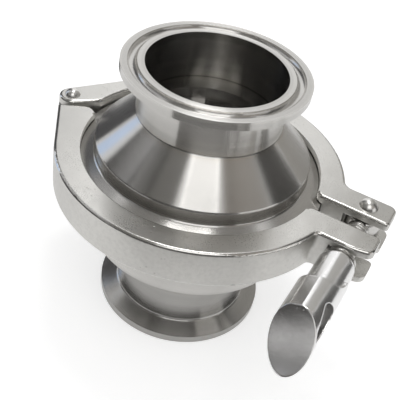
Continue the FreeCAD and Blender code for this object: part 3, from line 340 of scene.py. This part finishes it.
class Graph:
    """The nodes of one material, or of the world."""

    def __init__(self, name, store=None):
        self.owner = fresh(bpy.data.materials if store is None else store, name)
        self.owner.use_nodes = True
        self.tree = self.owner.node_tree
        self.tree.nodes.clear()

    def add(self, kind, settings=None, values=None, out=0):
        """Add a node: its settings first, then the values or links of its sockets.

        It gives the wire of one output, or None for a node that has no output.
        """
        node = self.tree.nodes.new(kind)
        for key, value in (settings or {}).items():
            setattr(node, key, value)
        for key, value in (values or {}).items():
            if isinstance(value, Wire):
                self.tree.links.new(value.socket, node.inputs[key])
            else:
                node.inputs[key].default_value = value
        return Wire(self, node.outputs[out]) if len(node.outputs) else None

    def outputs(self, wire):
        """All outputs of a wire's node, by their names."""
        return {socket.name: Wire(self, socket) for socket in wire.socket.node.outputs}

    def point(self, centre=(0, 0, 0), turn=(0, 0, 0)):
        """Place on the piece, seen from a centre and with Z along the piece's own axis."""
        place = self.add("ShaderNodeTexCoord", out="Object")
        return self.add(
            "ShaderNodeMapping", {"vector_type": "TEXTURE"},
            {"Vector": place, "Location": centre, "Rotation": turn})

    def parts(self, vector):
        """The three coordinates of a vector."""
        return list(self.outputs(self.add("ShaderNodeSeparateXYZ", values={0: vector})).values())

    def noise(self, place, scale, detail=2.0, rough=0.5):
        """Cloudy value round 0.5 that changes over the place."""
        return self.add(
            "ShaderNodeTexNoise", {"noise_dimensions": "3D"},
            {"Vector": place, "Scale": scale, "Detail": detail, "Roughness": rough})

    def line_noise(self, value, scale, detail=2.0, rough=0.5):
        """Cloudy value round 0.5 that changes along one value only."""
        return self.add(
            "ShaderNodeTexNoise", {"noise_dimensions": "1D"},
            {"W": value, "Scale": scale, "Detail": detail, "Roughness": rough})

    def pits(self, place, scale, rim, patch_scale, patch):
        """Round pits, 1 at their middle, in patches where slow noise passes a limit."""
        cells = self.add(
            "ShaderNodeTexVoronoi", {"feature": "F1"}, {"Vector": place, "Scale": scale})
        return cells.smooth(*rim) * self.noise(place, patch_scale, 1.0).smooth(*patch)

    def blend(self, share, first, second):
        """A colour between two colours, or colour wires, by a share from 0 to 1.

        The Mix node's colours are its sockets 6 and 7, and their mix is its output 2.
        """
        colours = [c if isinstance(c, Wire) else (*c, 1) for c in (first, second)]
        return self.add(
            "ShaderNodeMix", {"data_type": "RGBA"},
            {"Factor": share, 6: colours[0], 7: colours[1]}, out=2)

    def bump(self, height, distance, normal=None):
        """Normal of a surface raised by a height from 0 to 1 times a distance."""
        values = {"Strength": 1.0, "Distance": distance, "Height": height}
        if normal is not None:
            values["Normal"] = normal
        return self.add("ShaderNodeBump", values=values)

    def end(self, shader, output="ShaderNodeOutputMaterial"):
        """Join a shader to the output node, and give the finished material or world."""
        self.add(output, values={"Surface": shader})
        return self.owner

    def finish(self, **sockets):
        """End in a metal, rubber or plastic shader; names with _ stand for spaces."""
        return self.end(self.add(
            "ShaderNodeBsdfPrincipled",
            values={key.replace("_", " "): value for key, value in sockets.items()}))


def tone(colour, share):
    """A colour made darker or lighter."""
    return tuple(min(1.0, c * share) for c in colour)


def ring_number(x, y, z):
    """Radius + 0.8 height: lathe rings drawn by it show on faces, cones and walls alike."""
    return (x * x + y * y) ** 0.5 + z * RING_SLOPE


def turned_finish(name, colour, roughness, spacing, depth, centre=(0, 0, 0),
                  turn=(0, 0, 0), stretch=0.93, welds=()):
    """Steel from a lathe: fine rings round the piece's axis, slow bands and light haze."""
    graph = Graph(name)
    place = graph.point(centre, turn)
    x, y, z = graph.parts(place)
    across = ring_number(x, y, z)
    marks = graph.line_noise(across, 1 / spacing, 3.0, 0.65)
    bands = graph.line_noise(across, 1 / (spacing * 12), 2.0, 0.5)
    haze = graph.noise(place, 90.0, 4.0, 0.6)
    rub = graph.noise(place, 900.0, 3.0, 0.6)
    shade = graph.blend(bands.smooth(0.3, 0.7), tone(colour, 0.93), tone(colour, 1.04))
    shade = graph.blend(haze.smooth(0.52, 0.72) * 0.25, shade, tone(colour, 0.86))
    for height in welds:
        off = abs(z - height)
        heat = off.smooth(*HEAT_BAND) * graph.line_noise(z, 2600.0).smooth(0.35, 0.7)
        tinted = tuple(c * left for c, left in zip(colour, HEAT_TINT))
        shade = graph.blend(heat * 0.35, shade, tinted)
        shade = graph.blend(off.smooth(*SEAM_LINE) * 0.7, shade, tone(colour, 0.30))
    blur = roughness * (0.82 + 0.36 * bands) + 0.05 * haze + 0.03 * rub
    return graph.finish(
        Base_Color=shade, Metallic=1.0, Roughness=blur, Anisotropic=stretch,
        Anisotropic_Rotation=BLUR_ACROSS_RINGS,
        Normal=graph.bump(marks + 0.4 * bands, depth))


def cast_finish(name, colour, roughness, grain):
    """Blasted and tumbled casting: grain on the walls, smoother flats, rubbed edges."""
    graph = Graph(name)
    place = graph.point()
    soft_edge = graph.add("ShaderNodeBevel", {"samples": 6}, {"Radius": CLAMP_EDGE})
    facing = graph.add("ShaderNodeNewGeometry", out="Normal")
    level = abs(graph.parts(facing)[2]).smooth(0.55, 0.95)
    coarse = graph.noise(place, 0.55 / grain, 3.0, 0.6)
    fine = graph.noise(place, 1.8 / grain, 2.0, 0.55)
    waves = graph.noise(place, 95.0, 2.0, 0.5)
    pit = graph.pits(place, 420.0, (0.16, 0.05), 60.0, (0.5, 0.66))
    stain = graph.noise(place, 38.0, 4.0, 0.6)
    rubbed = graph.add(
        "ShaderNodeVectorMath", {"operation": "DOT_PRODUCT"},
        {0: soft_edge, 1: facing}, out="Value").smooth(0.995, 0.93)
    tilt = abs(graph.parts(soft_edge)[2])
    round_edge = tilt.smooth(0.10, 0.30) * tilt.smooth(0.99, 0.93)
    shade = graph.blend(stain.smooth(0.35, 0.75), tone(colour, 1.03), tone(colour, 0.92))
    shade = graph.blend(coarse.smooth(0.35, 0.7) * (1 - level * 0.7) * 0.35, shade,
                        tone(colour, 0.80))
    shade = graph.blend(pit * 0.5, shade, tone(colour, 0.45))
    shade = graph.blend(rubbed * 0.6, shade, tone(colour, 1.15))
    blur = roughness + 0.10 * fine - level * 0.13 + 0.06 * waves - 0.12 * rubbed
    height = (coarse * 0.75 + fine * 0.25) * (1 - level * 0.82) * (1 - round_edge * 0.8)
    return graph.finish(
        Base_Color=shade, Metallic=1.0, Roughness=blur * (1 - round_edge * 0.62),
        Normal=graph.bump(height - pit * 0.8, grain * 0.105,
                          graph.bump(waves, 0.00016, soft_edge)))


def polished_finish(name, colour, roughness):
    """Tumbled and polished casting: soft edges, orange peel, hair scratches, dull pits."""
    graph = Graph(name)
    place = graph.point()
    soft_edge = graph.add("ShaderNodeBevel", {"samples": 8}, {"Radius": NUT_EDGE})
    peel = graph.noise(place, 170.0, 2.0, 0.5)
    haze = graph.noise(place, 60.0, 4.0, 0.6)
    streaks = graph.add(
        "ShaderNodeMapping", {"vector_type": "POINT"},
        {"Vector": place, "Scale": (1500.0, 160.0, 1500.0)})
    hair = graph.noise(streaks, 1.0, 3.0, 0.6)
    pit = graph.pits(place, 330.0, (0.12, 0.04), 90.0, (0.52, 0.68))
    shade = graph.blend(haze.smooth(0.45, 0.75) * 0.5, colour, tone(colour, 0.88))
    shade = graph.blend(pit * 0.5, shade, tone(colour, 0.5))
    blur = roughness + 0.06 * hair + 0.07 * haze.smooth(0.4, 0.75) + 0.2 * pit
    return graph.finish(
        Base_Color=shade, Metallic=1.0, Roughness=blur,
        Normal=graph.bump(hair - pit * 2, 0.000006, graph.bump(peel, 0.00005, soft_edge)))


def bolt_finish(name, colour):
    """Rolled thread and forged eye: bright crests, darker and duller roots."""
    graph = Graph(name)
    place = graph.point()
    root = graph.add("ShaderNodeAttribute", {"attribute_name": "thread_root"}, out="Fac")
    mottle = graph.noise(place, 700.0, 4.0, 0.6)
    # Thread roots are darkened down to 0.30 of the colour, in patches of a noise.
    shade = graph.blend(
        root.smooth(0.35, 1.0) * (0.55 + 0.4 * mottle), colour, tone(colour, 0.30))
    scratches = graph.noise(place, 2200.0, 2.0, 0.6)
    return graph.finish(
        Base_Color=shade, Metallic=1.0, Roughness=0.20 + 0.22 * root + 0.10 * mottle,
        Normal=graph.bump(scratches, 0.000012))


def wire_finish(name, colour):
    """Drawn spring wire: soft gloss with a fine grain and a trace of dark oxide."""
    graph = Graph(name)
    place = graph.point()
    grain = graph.noise(place, 1500.0, 3.0, 0.6)
    oxide = graph.noise(place, 160.0, 4.0, 0.6)
    shade = graph.blend(oxide.smooth(0.4, 0.7), tone(colour, 0.95), tone(colour, 0.68))
    return graph.finish(
        Base_Color=shade, Metallic=1.0, Roughness=0.26 + 0.14 * grain,
        Normal=graph.bump(grain, 0.000014))


def rubber_finish(name, colour):
    """Moulded seal rubber: near black, matt, with a fine moulded skin and pale dust."""
    graph = Graph(name)
    place = graph.point()
    skin = graph.noise(place, 1700.0, 3.0, 0.6)
    dust = graph.noise(place, 300.0, 5.0, 0.7).smooth(0.55, 0.8)
    shade = graph.blend(dust * 0.5, colour, tone(colour, 2.6))
    return graph.finish(
        Base_Color=shade, Roughness=0.48 + 0.18 * skin + 0.08 * dust, IOR=1.52,
        Normal=graph.bump(skin, 0.00002))


def bush_finish(name, colour):
    """Turned bearing plastic: warm white, faint tool rings and a waxy gloss."""
    graph = Graph(name)
    place = graph.point()
    rings = graph.line_noise(ring_number(*graph.parts(place)), 5200.0, 2.0, 0.6)
    cloud = graph.noise(place, 180.0, 3.0, 0.5)
    shade = graph.blend(cloud.smooth(0.3, 0.7), colour, tone(colour, 0.90))
    return graph.finish(
        Base_Color=shade, Roughness=0.38 + 0.12 * rings, IOR=1.38,
        Normal=graph.bump(rings, 0.000018))


def dress(node, material):
    """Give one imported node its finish."""
    item = frame["nodes"][node]
    if not item.material_slots:
        item.data.materials.append(material)
    for slot in item.material_slots:
        slot.material = material


def middle(node):
    """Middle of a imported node's box."""
    low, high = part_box(node)
    return tuple((low + high) / 2)


# Surfaces of two parameters


def grid_faces(rows, columns, wrap_rows=False, wrap_columns=True):
    """Quads of points numbered row by row; either way can close on itself."""
    row = np.arange(rows if wrap_rows else rows - 1)[:, None]
    column = np.arange(columns if wrap_columns else columns - 1)[None, :]
    next_row = (row + 1) % rows
    next_column = (column + 1) % columns
    quads = np.stack([row * columns + column, row * columns + next_column,
                      next_row * columns + next_column, next_row * columns + column], axis=-1)
    return quads.reshape(-1, 4).tolist()


def cap_faces(centre, first, columns, outward):
    """Triangles from a pole to the ring of points that starts at first."""
    here = np.arange(columns)
    after = (here + 1) % columns
    pair = (here, after) if outward else (after, here)
    fan = np.stack([np.full(columns, centre), pair[0] + first, pair[1] + first], axis=-1)
    return fan.tolist()


def tube_faces(rows, columns):
    """Faces of a tube's rings of points and of the pole that closes each end."""
    last = rows * columns
    return (grid_faces(rows, columns) + cap_faces(last, 0, columns, False)
            + cap_faces(last + 1, last - columns, columns, True))


def new_piece(name, points, faces, material):
    """Smooth mesh at the origin from an array of points and a list of faces."""
    mesh = fresh(bpy.data.meshes, name)
    mesh.from_pydata(np.asarray(points, float).reshape(-1, 3).tolist(), [], faces)
    mesh.update()
    mesh.shade_smooth()
    mesh.materials.append(material)
    return placed(name, mesh)


def thread_surface(start, reach, settings, plain):
    """Shank of the bolt as radius over distance s from the pin and angle a about the shank.

    radius = crest - depth * (1 - ridge), where ridge rises from 0 to 1 and falls again
    once per pitch along s - pitch * a / (full turn); it fades in after the plain neck,
    and a cone cuts the tip.
    """
    columns, rows_per_pitch = 40, 8
    root_flat, flank = 0.12, 0.70
    tip_cut = 0.0008
    rows = int((reach - start) / settings.pitch * rows_per_pitch)
    s = np.linspace(start, reach, rows)[:, None]
    a = (np.arange(columns) / columns * FULL_TURN)[None, :]
    phase = (s / settings.pitch - a / FULL_TURN) % 1.0
    ridge = np.clip((np.abs(2 * phase - 1) - root_flat) / flank, 0, 1)
    fade = np.clip((s - plain) / settings.pitch, 0, 1)
    root = (1 - ridge) * fade
    radius = settings.shank_radius - settings.thread_depth * root
    radius = np.minimum(radius, settings.shank_radius - tip_cut + (reach - s))
    points = np.stack([radius * np.cos(a), -s + 0 * a, radius * np.sin(a)], axis=-1)
    poles = np.array([[0, -start, 0], [0, -reach, 0]])
    shares = np.concatenate([np.broadcast_to(root, radius.shape).ravel(), [0.0, 0.0]])
    return np.concatenate([points.reshape(-1, 3), poles]), tube_faces(rows, columns), shares


def rounded_loop(inner, outer, half, corner, inside_corner, steps=6):
    """Clockwise section of a flat ring, as radius and height.

    It is a rectangle from inner to outer and from -half to half, with a quarter circle
    at each corner.
    """
    turn = np.linspace(0, np.pi / 2, steps)
    corners = (
        (outer - corner, -half + corner, corner, 0.0),
        (inner + inside_corner, -half + inside_corner, inside_corner, -np.pi / 2),
        (inner + inside_corner, half - inside_corner, inside_corner, -np.pi),
        (outer - corner, half - corner, corner, -1.5 * np.pi),
    )
    runs = [
        np.stack([x + r * np.cos(first - turn), z + r * np.sin(first - turn)], axis=-1)
        for x, z, r, first in corners
    ]
    return np.concatenate(runs)


def eye_surface(settings):
    """The bolt's eye: a rounded rectangle section carried round the pin's axis."""
    rows, hole_edge = 72, 0.0003
    loop = rounded_loop(settings.pin_radius, settings.eye_radius, settings.eye_height / 2,
                        settings.eye_round, hole_edge)
    a = (np.arange(rows) / rows * FULL_TURN)[:, None]
    points = np.stack([loop[None, :, 0] * np.cos(a), loop[None, :, 0] * np.sin(a),
                       loop[None, :, 1] + 0 * a], axis=-1)
    return points.reshape(-1, 3), grid_faces(rows, len(loop), wrap_rows=True)


def spring_surface(settings, low, high, radius):
    """Coil with closed and ground ends.

    The wire's middle is (radius cos t, radius sin t, z(t)), where z rises by almost one
    wire thickness a turn in the closed ends and evenly faster between them; a circle is
    carried along it, and both ends are cut flat where they meet their seats.
    """
    wire = settings.wire_radius
    rows_per_turn, columns = 40, 14
    easing = 0.35
    closed_rise = 1.9 * wire
    ground = 0.45 * wire
    rows = int(settings.turns * rows_per_turn) + 1
    t = np.linspace(0, settings.turns, rows)
    open_part = np.clip((t - settings.closed) / easing, 0, 1)
    open_part *= np.clip((settings.turns - settings.closed - t) / easing, 0, 1)
    open_part = open_part ** 2 * (3 - 2 * open_part)
    start, end = low + ground, high - ground
    step = t[1] - t[0]
    share = np.concatenate([[0], np.cumsum((open_part[1:] + open_part[:-1]) / 2) * step])
    extra = (end - start - closed_rise * settings.turns) / share[-1]
    z = start + closed_rise * t + extra * share
    angle = (FULL_TURN * t)[:, None]
    a = (-np.arange(columns) / columns * FULL_TURN)[None, :]
    out = radius + wire * np.cos(a)
    height = np.clip(z[:, None] + wire * np.sin(a), low, high)
    points = np.stack([out * np.cos(angle), out * np.sin(angle), height], axis=-1)
    poles = points[[0, -1]].mean(axis=1)
    return np.concatenate([points.reshape(-1, 3), poles]), tube_faces(rows, columns)


# The stage


def direction(azimuth, height):
    """Unit vector (cos e cos a, cos e sin a, sin e) of azimuth a and height e in degrees."""
    a, e = np.radians(azimuth), np.radians(height)
    return np.stack([np.cos(e) * np.cos(a), np.cos(e) * np.sin(a), np.sin(e) + 0 * a], axis=-1)


def mirrored_sheet(name, points, colour):
    """Sheet that shines in its own colour, and that only reflections show."""
    graph = Graph(name)
    glow = graph.add("ShaderNodeEmission", values={"Color": (*colour, 1), "Strength": 1.0})
    faces = grid_faces(SHEET_ROWS, SHEET_COLUMNS, wrap_columns=False)
    item = new_piece(name, points, faces, graph.end(glow))
    for ray in ("camera", "diffuse", "transmission", "volume_scatter", "shadow"):
        setattr(item, "visible_" + ray, False)


def mirrored_board(name, azimuths, heights, distance, colour):
    """Part of a sphere round the valve: distance * direction over azimuth and height."""
    points = distance * direction(np.linspace(*azimuths, SHEET_COLUMNS)[None, :],
                                  np.linspace(*heights, SHEET_ROWS)[:, None])
    points[..., 2] += AIM_HEIGHT
    mirrored_sheet(name, points, colour)


def mirrored_shade(name, azimuths, distances, colour):
    """Part of a flat ring just above the floor.

    Points are (r cos a, r sin a, 0.2 mm) over distance r and azimuth a.
    """
    a = np.radians(np.linspace(*azimuths, SHEET_COLUMNS))[None, :]
    r = np.linspace(*distances, SHEET_ROWS)[:, None]
    points = np.stack([r * np.cos(a), r * np.sin(a), SHADE_HEIGHT + 0 * r * a], axis=-1)
    mirrored_sheet(name, points, colour)


def studio_floor(settings):
    """Round floor from radius and angle, lifted to white where it is seen or mirrored."""
    radius = np.array([0.15, 0.6, 2.0, 6.0])[:, None]
    rows, columns = len(radius), 48
    a = (np.arange(columns) / columns * FULL_TURN)[None, :]
    points = np.stack(
        [radius * np.cos(a), radius * np.sin(a), FLOOR_HEIGHT + 0 * radius * a], axis=-1)
    points = np.concatenate([points.reshape(-1, 3), [[0, 0, FLOOR_HEIGHT]]])
    faces = [face[::-1] for face in grid_faces(rows, columns)]
    faces += cap_faces(rows * columns, 0, columns, True)
    graph = Graph("pale_floor")
    rays = graph.outputs(graph.add("ShaderNodeLightPath"))
    seen = rays["Is Camera Ray"] + rays["Is Transmission Ray"]
    matt = graph.add("ShaderNodeBsdfDiffuse", values={"Color": (*settings.floor_colour, 1)})
    lift = graph.add("ShaderNodeEmission", values={
        "Color": (1, 1, 1, 1),
        "Strength": seen * settings.floor_lift + rays["Is Glossy Ray"] * settings.floor_gleam})
    both = graph.add("ShaderNodeAddShader", values={0: matt, 1: lift})
    floor = new_piece("studio_floor", points, faces, graph.end(both))


def room_light(settings):
    """White room for what is seen and mirrored, and an even plain light for the rest."""
    graph = Graph("white_room", bpy.data.worlds)
    rays = graph.outputs(graph.add("ShaderNodeLightPath"))
    direct = rays["Is Camera Ray"].larger(rays["Is Glossy Ray"])
    direct = direct.larger(rays["Is Transmission Ray"])
    light, seen = (
        graph.add("ShaderNodeBackground", values={"Color": (1, 1, 1, 1), "Strength": strength})
        for strength in (settings.daylight, 1.0))
    mix = graph.add("ShaderNodeMixShader", values={"Fac": direct, 1: light, 2: seen})
    bpy.context.scene.world = graph.end(mix, "ShaderNodeOutputWorld")


def soft_box(name, azimuth, height, distance, size, power):
    """Rectangular lamp that faces the valve from a direction."""
    data = fresh(bpy.data.lights, name, "AREA")
    data.shape = "RECTANGLE"
    data.size, data.size_y = size
    data.energy = power
    away = Vector(direction(azimuth, height).tolist())
    lamp = placed(name, data)
    lamp.location = away * distance + Vector((0, 0, AIM_HEIGHT))
    lamp.rotation_euler = away.to_track_quat("Z", "Y").to_euler()
    lamp.visible_camera = False


def photo_camera():
    """Camera at the photograph's place and angle."""
    data = fresh(bpy.data.cameras, "photo_camera")
    data.sensor_width = CAMERA_SENSOR
    data.lens = CAMERA_LENS
    data.clip_start = CAMERA_CLIP
    camera = placed("photo_camera", data)
    axes = Matrix((CAMERA_RIGHT, CAMERA_UP, CAMERA_BACK)).transposed().to_4x4()
    camera.matrix_world = Matrix.Translation(CAMERA_PLACE) @ axes
    bpy.context.scene.camera = camera


# One operator for each piece or group of like pieces, and one for the stage


class VALVE_OT_turned_bodies(bpy.types.Operator):
    """Turned finish for both pipe ends and both chamber bodies"""

    bl_idname = "valve.turned_bodies"
    bl_label = "Turned bodies"

    def execute(self, context):
        steel = context.scene.valve_steel
        # The inlet ferrule's colour is darkened to 0.80 as painted shade on the low pipe end; the
        # other three pieces keep the full colour.
        for node, weld, shade in (
                ("outlet_ferrule", UPPER_WELD, 1.0), ("upper_body", UPPER_WELD, 1.0),
                ("lower_body", LOWER_WELD, 1.0), ("inlet_ferrule", LOWER_WELD, 0.80)):
            dress(node, turned_finish(
                "turned_" + node, tone(steel.turned_colour, shade), steel.turned_roughness,
                steel.tool_mark_spacing, steel.tool_mark_depth, welds=(weld,)))
        return {"FINISHED"}


class VALVE_OT_clamp_castings(bpy.types.Operator):
    """Blasted and rubbed finish for the two clamp halves"""

    bl_idname = "valve.clamp_castings"
    bl_label = "Clamp castings"

    def execute(self, context):
        steel = context.scene.valve_steel
        material = cast_finish("cast_clamp", tuple(steel.cast_colour), steel.cast_roughness,
                               steel.cast_grain)
        for node in ("back_clamp_half", "front_clamp_half"):
            dress(node, material)
        return {"FINISHED"}


class VALVE_OT_handle_nut(bpy.types.Operator):
    """Tumbled and polished finish for the handle nut"""

    bl_idname = "valve.handle_nut"
    bl_label = "Handle nut"

    def execute(self, context):
        steel = context.scene.valve_steel
        dress("clamp_nut", polished_finish(
            "polished_nut", tuple(steel.polished_colour), steel.polished_roughness))
        return {"FINISHED"}


class VALVE_OT_pins_and_washer(bpy.types.Operator):
    """Bright finish for the riveted pins and the nut's washer"""

    bl_idname = "valve.pins_and_washer"
    bl_label = "Pins and washer"

    def execute(self, context):
        steel = context.scene.valve_steel
        colour = tuple(steel.bright_colour)
        # The pins' colour is lightened to 1.25 of the bright steel as a painted highlight on the
        # rivet heads.
        for node in ("hinge_pin", "bolt_pin"):
            dress(node, turned_finish(
                "bright_" + node, tone(colour, 1.25), roughness=0.25, spacing=0.00035,
                depth=0.000006, centre=middle(node), stretch=0.2))
        dress("nut_washer", turned_finish(
            "bright_nut_washer", colour, roughness=0.17, spacing=0.00022, depth=0.000004,
            centre=middle("nut_washer"), turn=(math.pi / 2, 0, 0), stretch=0.0))
        return {"FINISHED"}


class VALVE_OT_plug_and_guide(bpy.types.Operator):
    """Machined finish for the plug's steel pieces and the guide that carries them"""

    bl_idname = "valve.plug_and_guide"
    bl_label = "Plug and guide"

    def execute(self, context):
        colour = tuple(context.scene.valve_steel.bright_colour)
        for node, roughness, spacing in (
                ("guide_spider", 0.24, 0.0004), ("valve_disc", 0.16, 0.00028),
                ("seal_retainer", 0.20, 0.0003), ("valve_stem", 0.12, 0.0002),
                ("plug_nut", 0.26, 0.0005)):
            dress(node, turned_finish("bright_" + node, colour, roughness, spacing,
                                      depth=spacing * 0.018, stretch=0.35))
        return {"FINISHED"}


class VALVE_OT_seals_and_bush(bpy.types.Operator):
    """Rubber for both seals and bearing plastic for the guide bush"""

    bl_idname = "valve.seals_and_bush"
    bl_label = "Seals and bush"

    def execute(self, context):
        soft = context.scene.valve_soft
        rubber = rubber_finish("seal_rubber_skin", tuple(soft.rubber_colour))
        dress("body_seal_ring", rubber)
        dress("plug_seal", rubber)
        dress("guide_bush", bush_finish("turned_bush", tuple(soft.bush_colour)))
        return {"FINISHED"}


class VALVE_OT_threaded_bolt(bpy.types.Operator):
    """Swing bolt with a cut thread and a rounded eye, in place of the plain one"""

    bl_idname = "valve.threaded_bolt"
    bl_label = "Threaded bolt"

    def execute(self, context):
        bolt = context.scene.valve_bolt
        pin = Vector(((BOLT_LOW.x + BOLT_HIGH.x) / 2, BOLT_HIGH.y - bolt.eye_radius,
                      (BOLT_LOW.z + BOLT_HIGH.z) / 2))
        inside_eye, neck = bolt.eye_radius * 0.72, bolt.eye_radius + 0.0004
        shank, faces, root = thread_surface(inside_eye, pin.y - BOLT_LOW.y, bolt, neck)
        eye, eye_faces = eye_surface(bolt)
        faces += (np.array(eye_faces) + len(shank)).tolist()
        points = np.concatenate([shank, eye]) + np.array(pin)
        colour = tuple(context.scene.valve_steel.bright_colour)
        item = new_piece("threaded_eye_bolt", points, faces, bolt_finish("rolled_bolt", colour))
        share = np.concatenate([root, np.zeros(len(eye))]).astype(np.float32)
        item.data.attributes.new("thread_root", "FLOAT", "POINT").data.foreach_set("value", share)
        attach(item, "bolt")
        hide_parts("eye_bolt")
        return {"FINISHED"}


class VALVE_OT_return_spring(bpy.types.Operator):
    """Wound spring with closed ends, in place of the plain one"""

    bl_idname = "valve.return_spring"
    bl_label = "Return spring"

    def execute(self, context):
        spring = context.scene.valve_spring
        radius = (SPRING_HIGH.x - SPRING_LOW.x) / 2 - spring.wire_radius
        points, faces = spring_surface(spring, SPRING_LOW.z, SPRING_HIGH.z, radius)
        colour = tuple(context.scene.valve_steel.bright_colour)
        item = new_piece("spring_coil", points, faces, wire_finish("drawn_wire", colour))
        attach(item, "valve_body")
        height = SPRING_HIGH.z - SPRING_LOW.z
        (height - LIFT) / height
        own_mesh(item)
        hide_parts("return_spring")
        return {"FINISHED"}


class VALVE_OT_studio(bpy.types.Operator):
    """Floor, white room, lamps, boards and the camera at the photograph's angle"""

    bl_idname = "valve.studio"
    bl_label = "Studio"

    def execute(self, context):
        studio = context.scene.valve_studio
        context.scene.view_settings.view_transform = "Standard"
        studio_floor(studio)
        room_light(studio)
        soft_box("key_soft_box", azimuth=-59, height=54, distance=0.9, size=(0.46, 0.58),
                 power=studio.key_power)
        soft_box("ceiling_lamp", azimuth=112, height=76, distance=0.8, size=(0.22, 0.22),
                 power=studio.ceiling_power)
        for name, azimuths, heights, colour in BOARDS:
            mirrored_board(name, azimuths, heights, studio.board_distance, colour)
        for name, azimuths, distances, colour in SHADES:
            mirrored_shade(name, azimuths, distances, colour)
        photo_camera()
        return {"FINISHED"}


class VALVE_PT_panel(bpy.types.Panel):
    """Sidebar panel with every step and its settings"""

    bl_idname = "VALVE_PT_panel"
    bl_label = "Non-return valve"
    bl_space_type = "VIEW_3D"
    bl_region_type = "UI"
    bl_category = "Valve"

    def draw(self, context):
        scene = context.scene
        for group in (scene.valve_steel, scene.valve_soft, scene.valve_bolt,
                      scene.valve_spring, scene.valve_studio):
            box = self.layout.box()
            for key in group.__annotations__:
                box.prop(group, key)
        for step in STEPS:
            self.layout.operator(step.bl_idname)


GROUPS = {
    "valve_steel": SteelSettings,
    "valve_soft": SoftSettings,
    "valve_bolt": BoltSettings,
    "valve_spring": SpringSettings,
    "valve_studio": StudioSettings,
}
STEPS = (
    VALVE_OT_turned_bodies,
    VALVE_OT_clamp_castings,
    VALVE_OT_handle_nut,
    VALVE_OT_pins_and_washer,
    VALVE_OT_plug_and_guide,
    VALVE_OT_seals_and_bush,
    VALVE_OT_threaded_bolt,
    VALVE_OT_return_spring,
    VALVE_OT_studio,
)


def register():
    for item in (*GROUPS.values(), *STEPS, VALVE_PT_panel):
        bpy.utils.register_class(item)
    for name, group in GROUPS.items():
        setattr(bpy.types.Scene, name, PointerProperty(type=group))


def unregister():
    for name in GROUPS:
        delattr(bpy.types.Scene, name)
    for item in reversed((*GROUPS.values(), *STEPS, VALVE_PT_panel)):
        bpy.utils.unregister_class(item)


def main():
    """Run every step in order."""
    register()
    bpy.ops.valve.turned_bodies()
    bpy.ops.valve.clamp_castings()
    bpy.ops.valve.handle_nut()
    bpy.ops.valve.pins_and_washer()
    bpy.ops.valve.plug_and_guide()
    bpy.ops.valve.seals_and_bush()
    bpy.ops.valve.threaded_bolt()
    bpy.ops.valve.return_spring()
    bpy.ops.valve.studio()


if __name__ == "__main__":
    main()
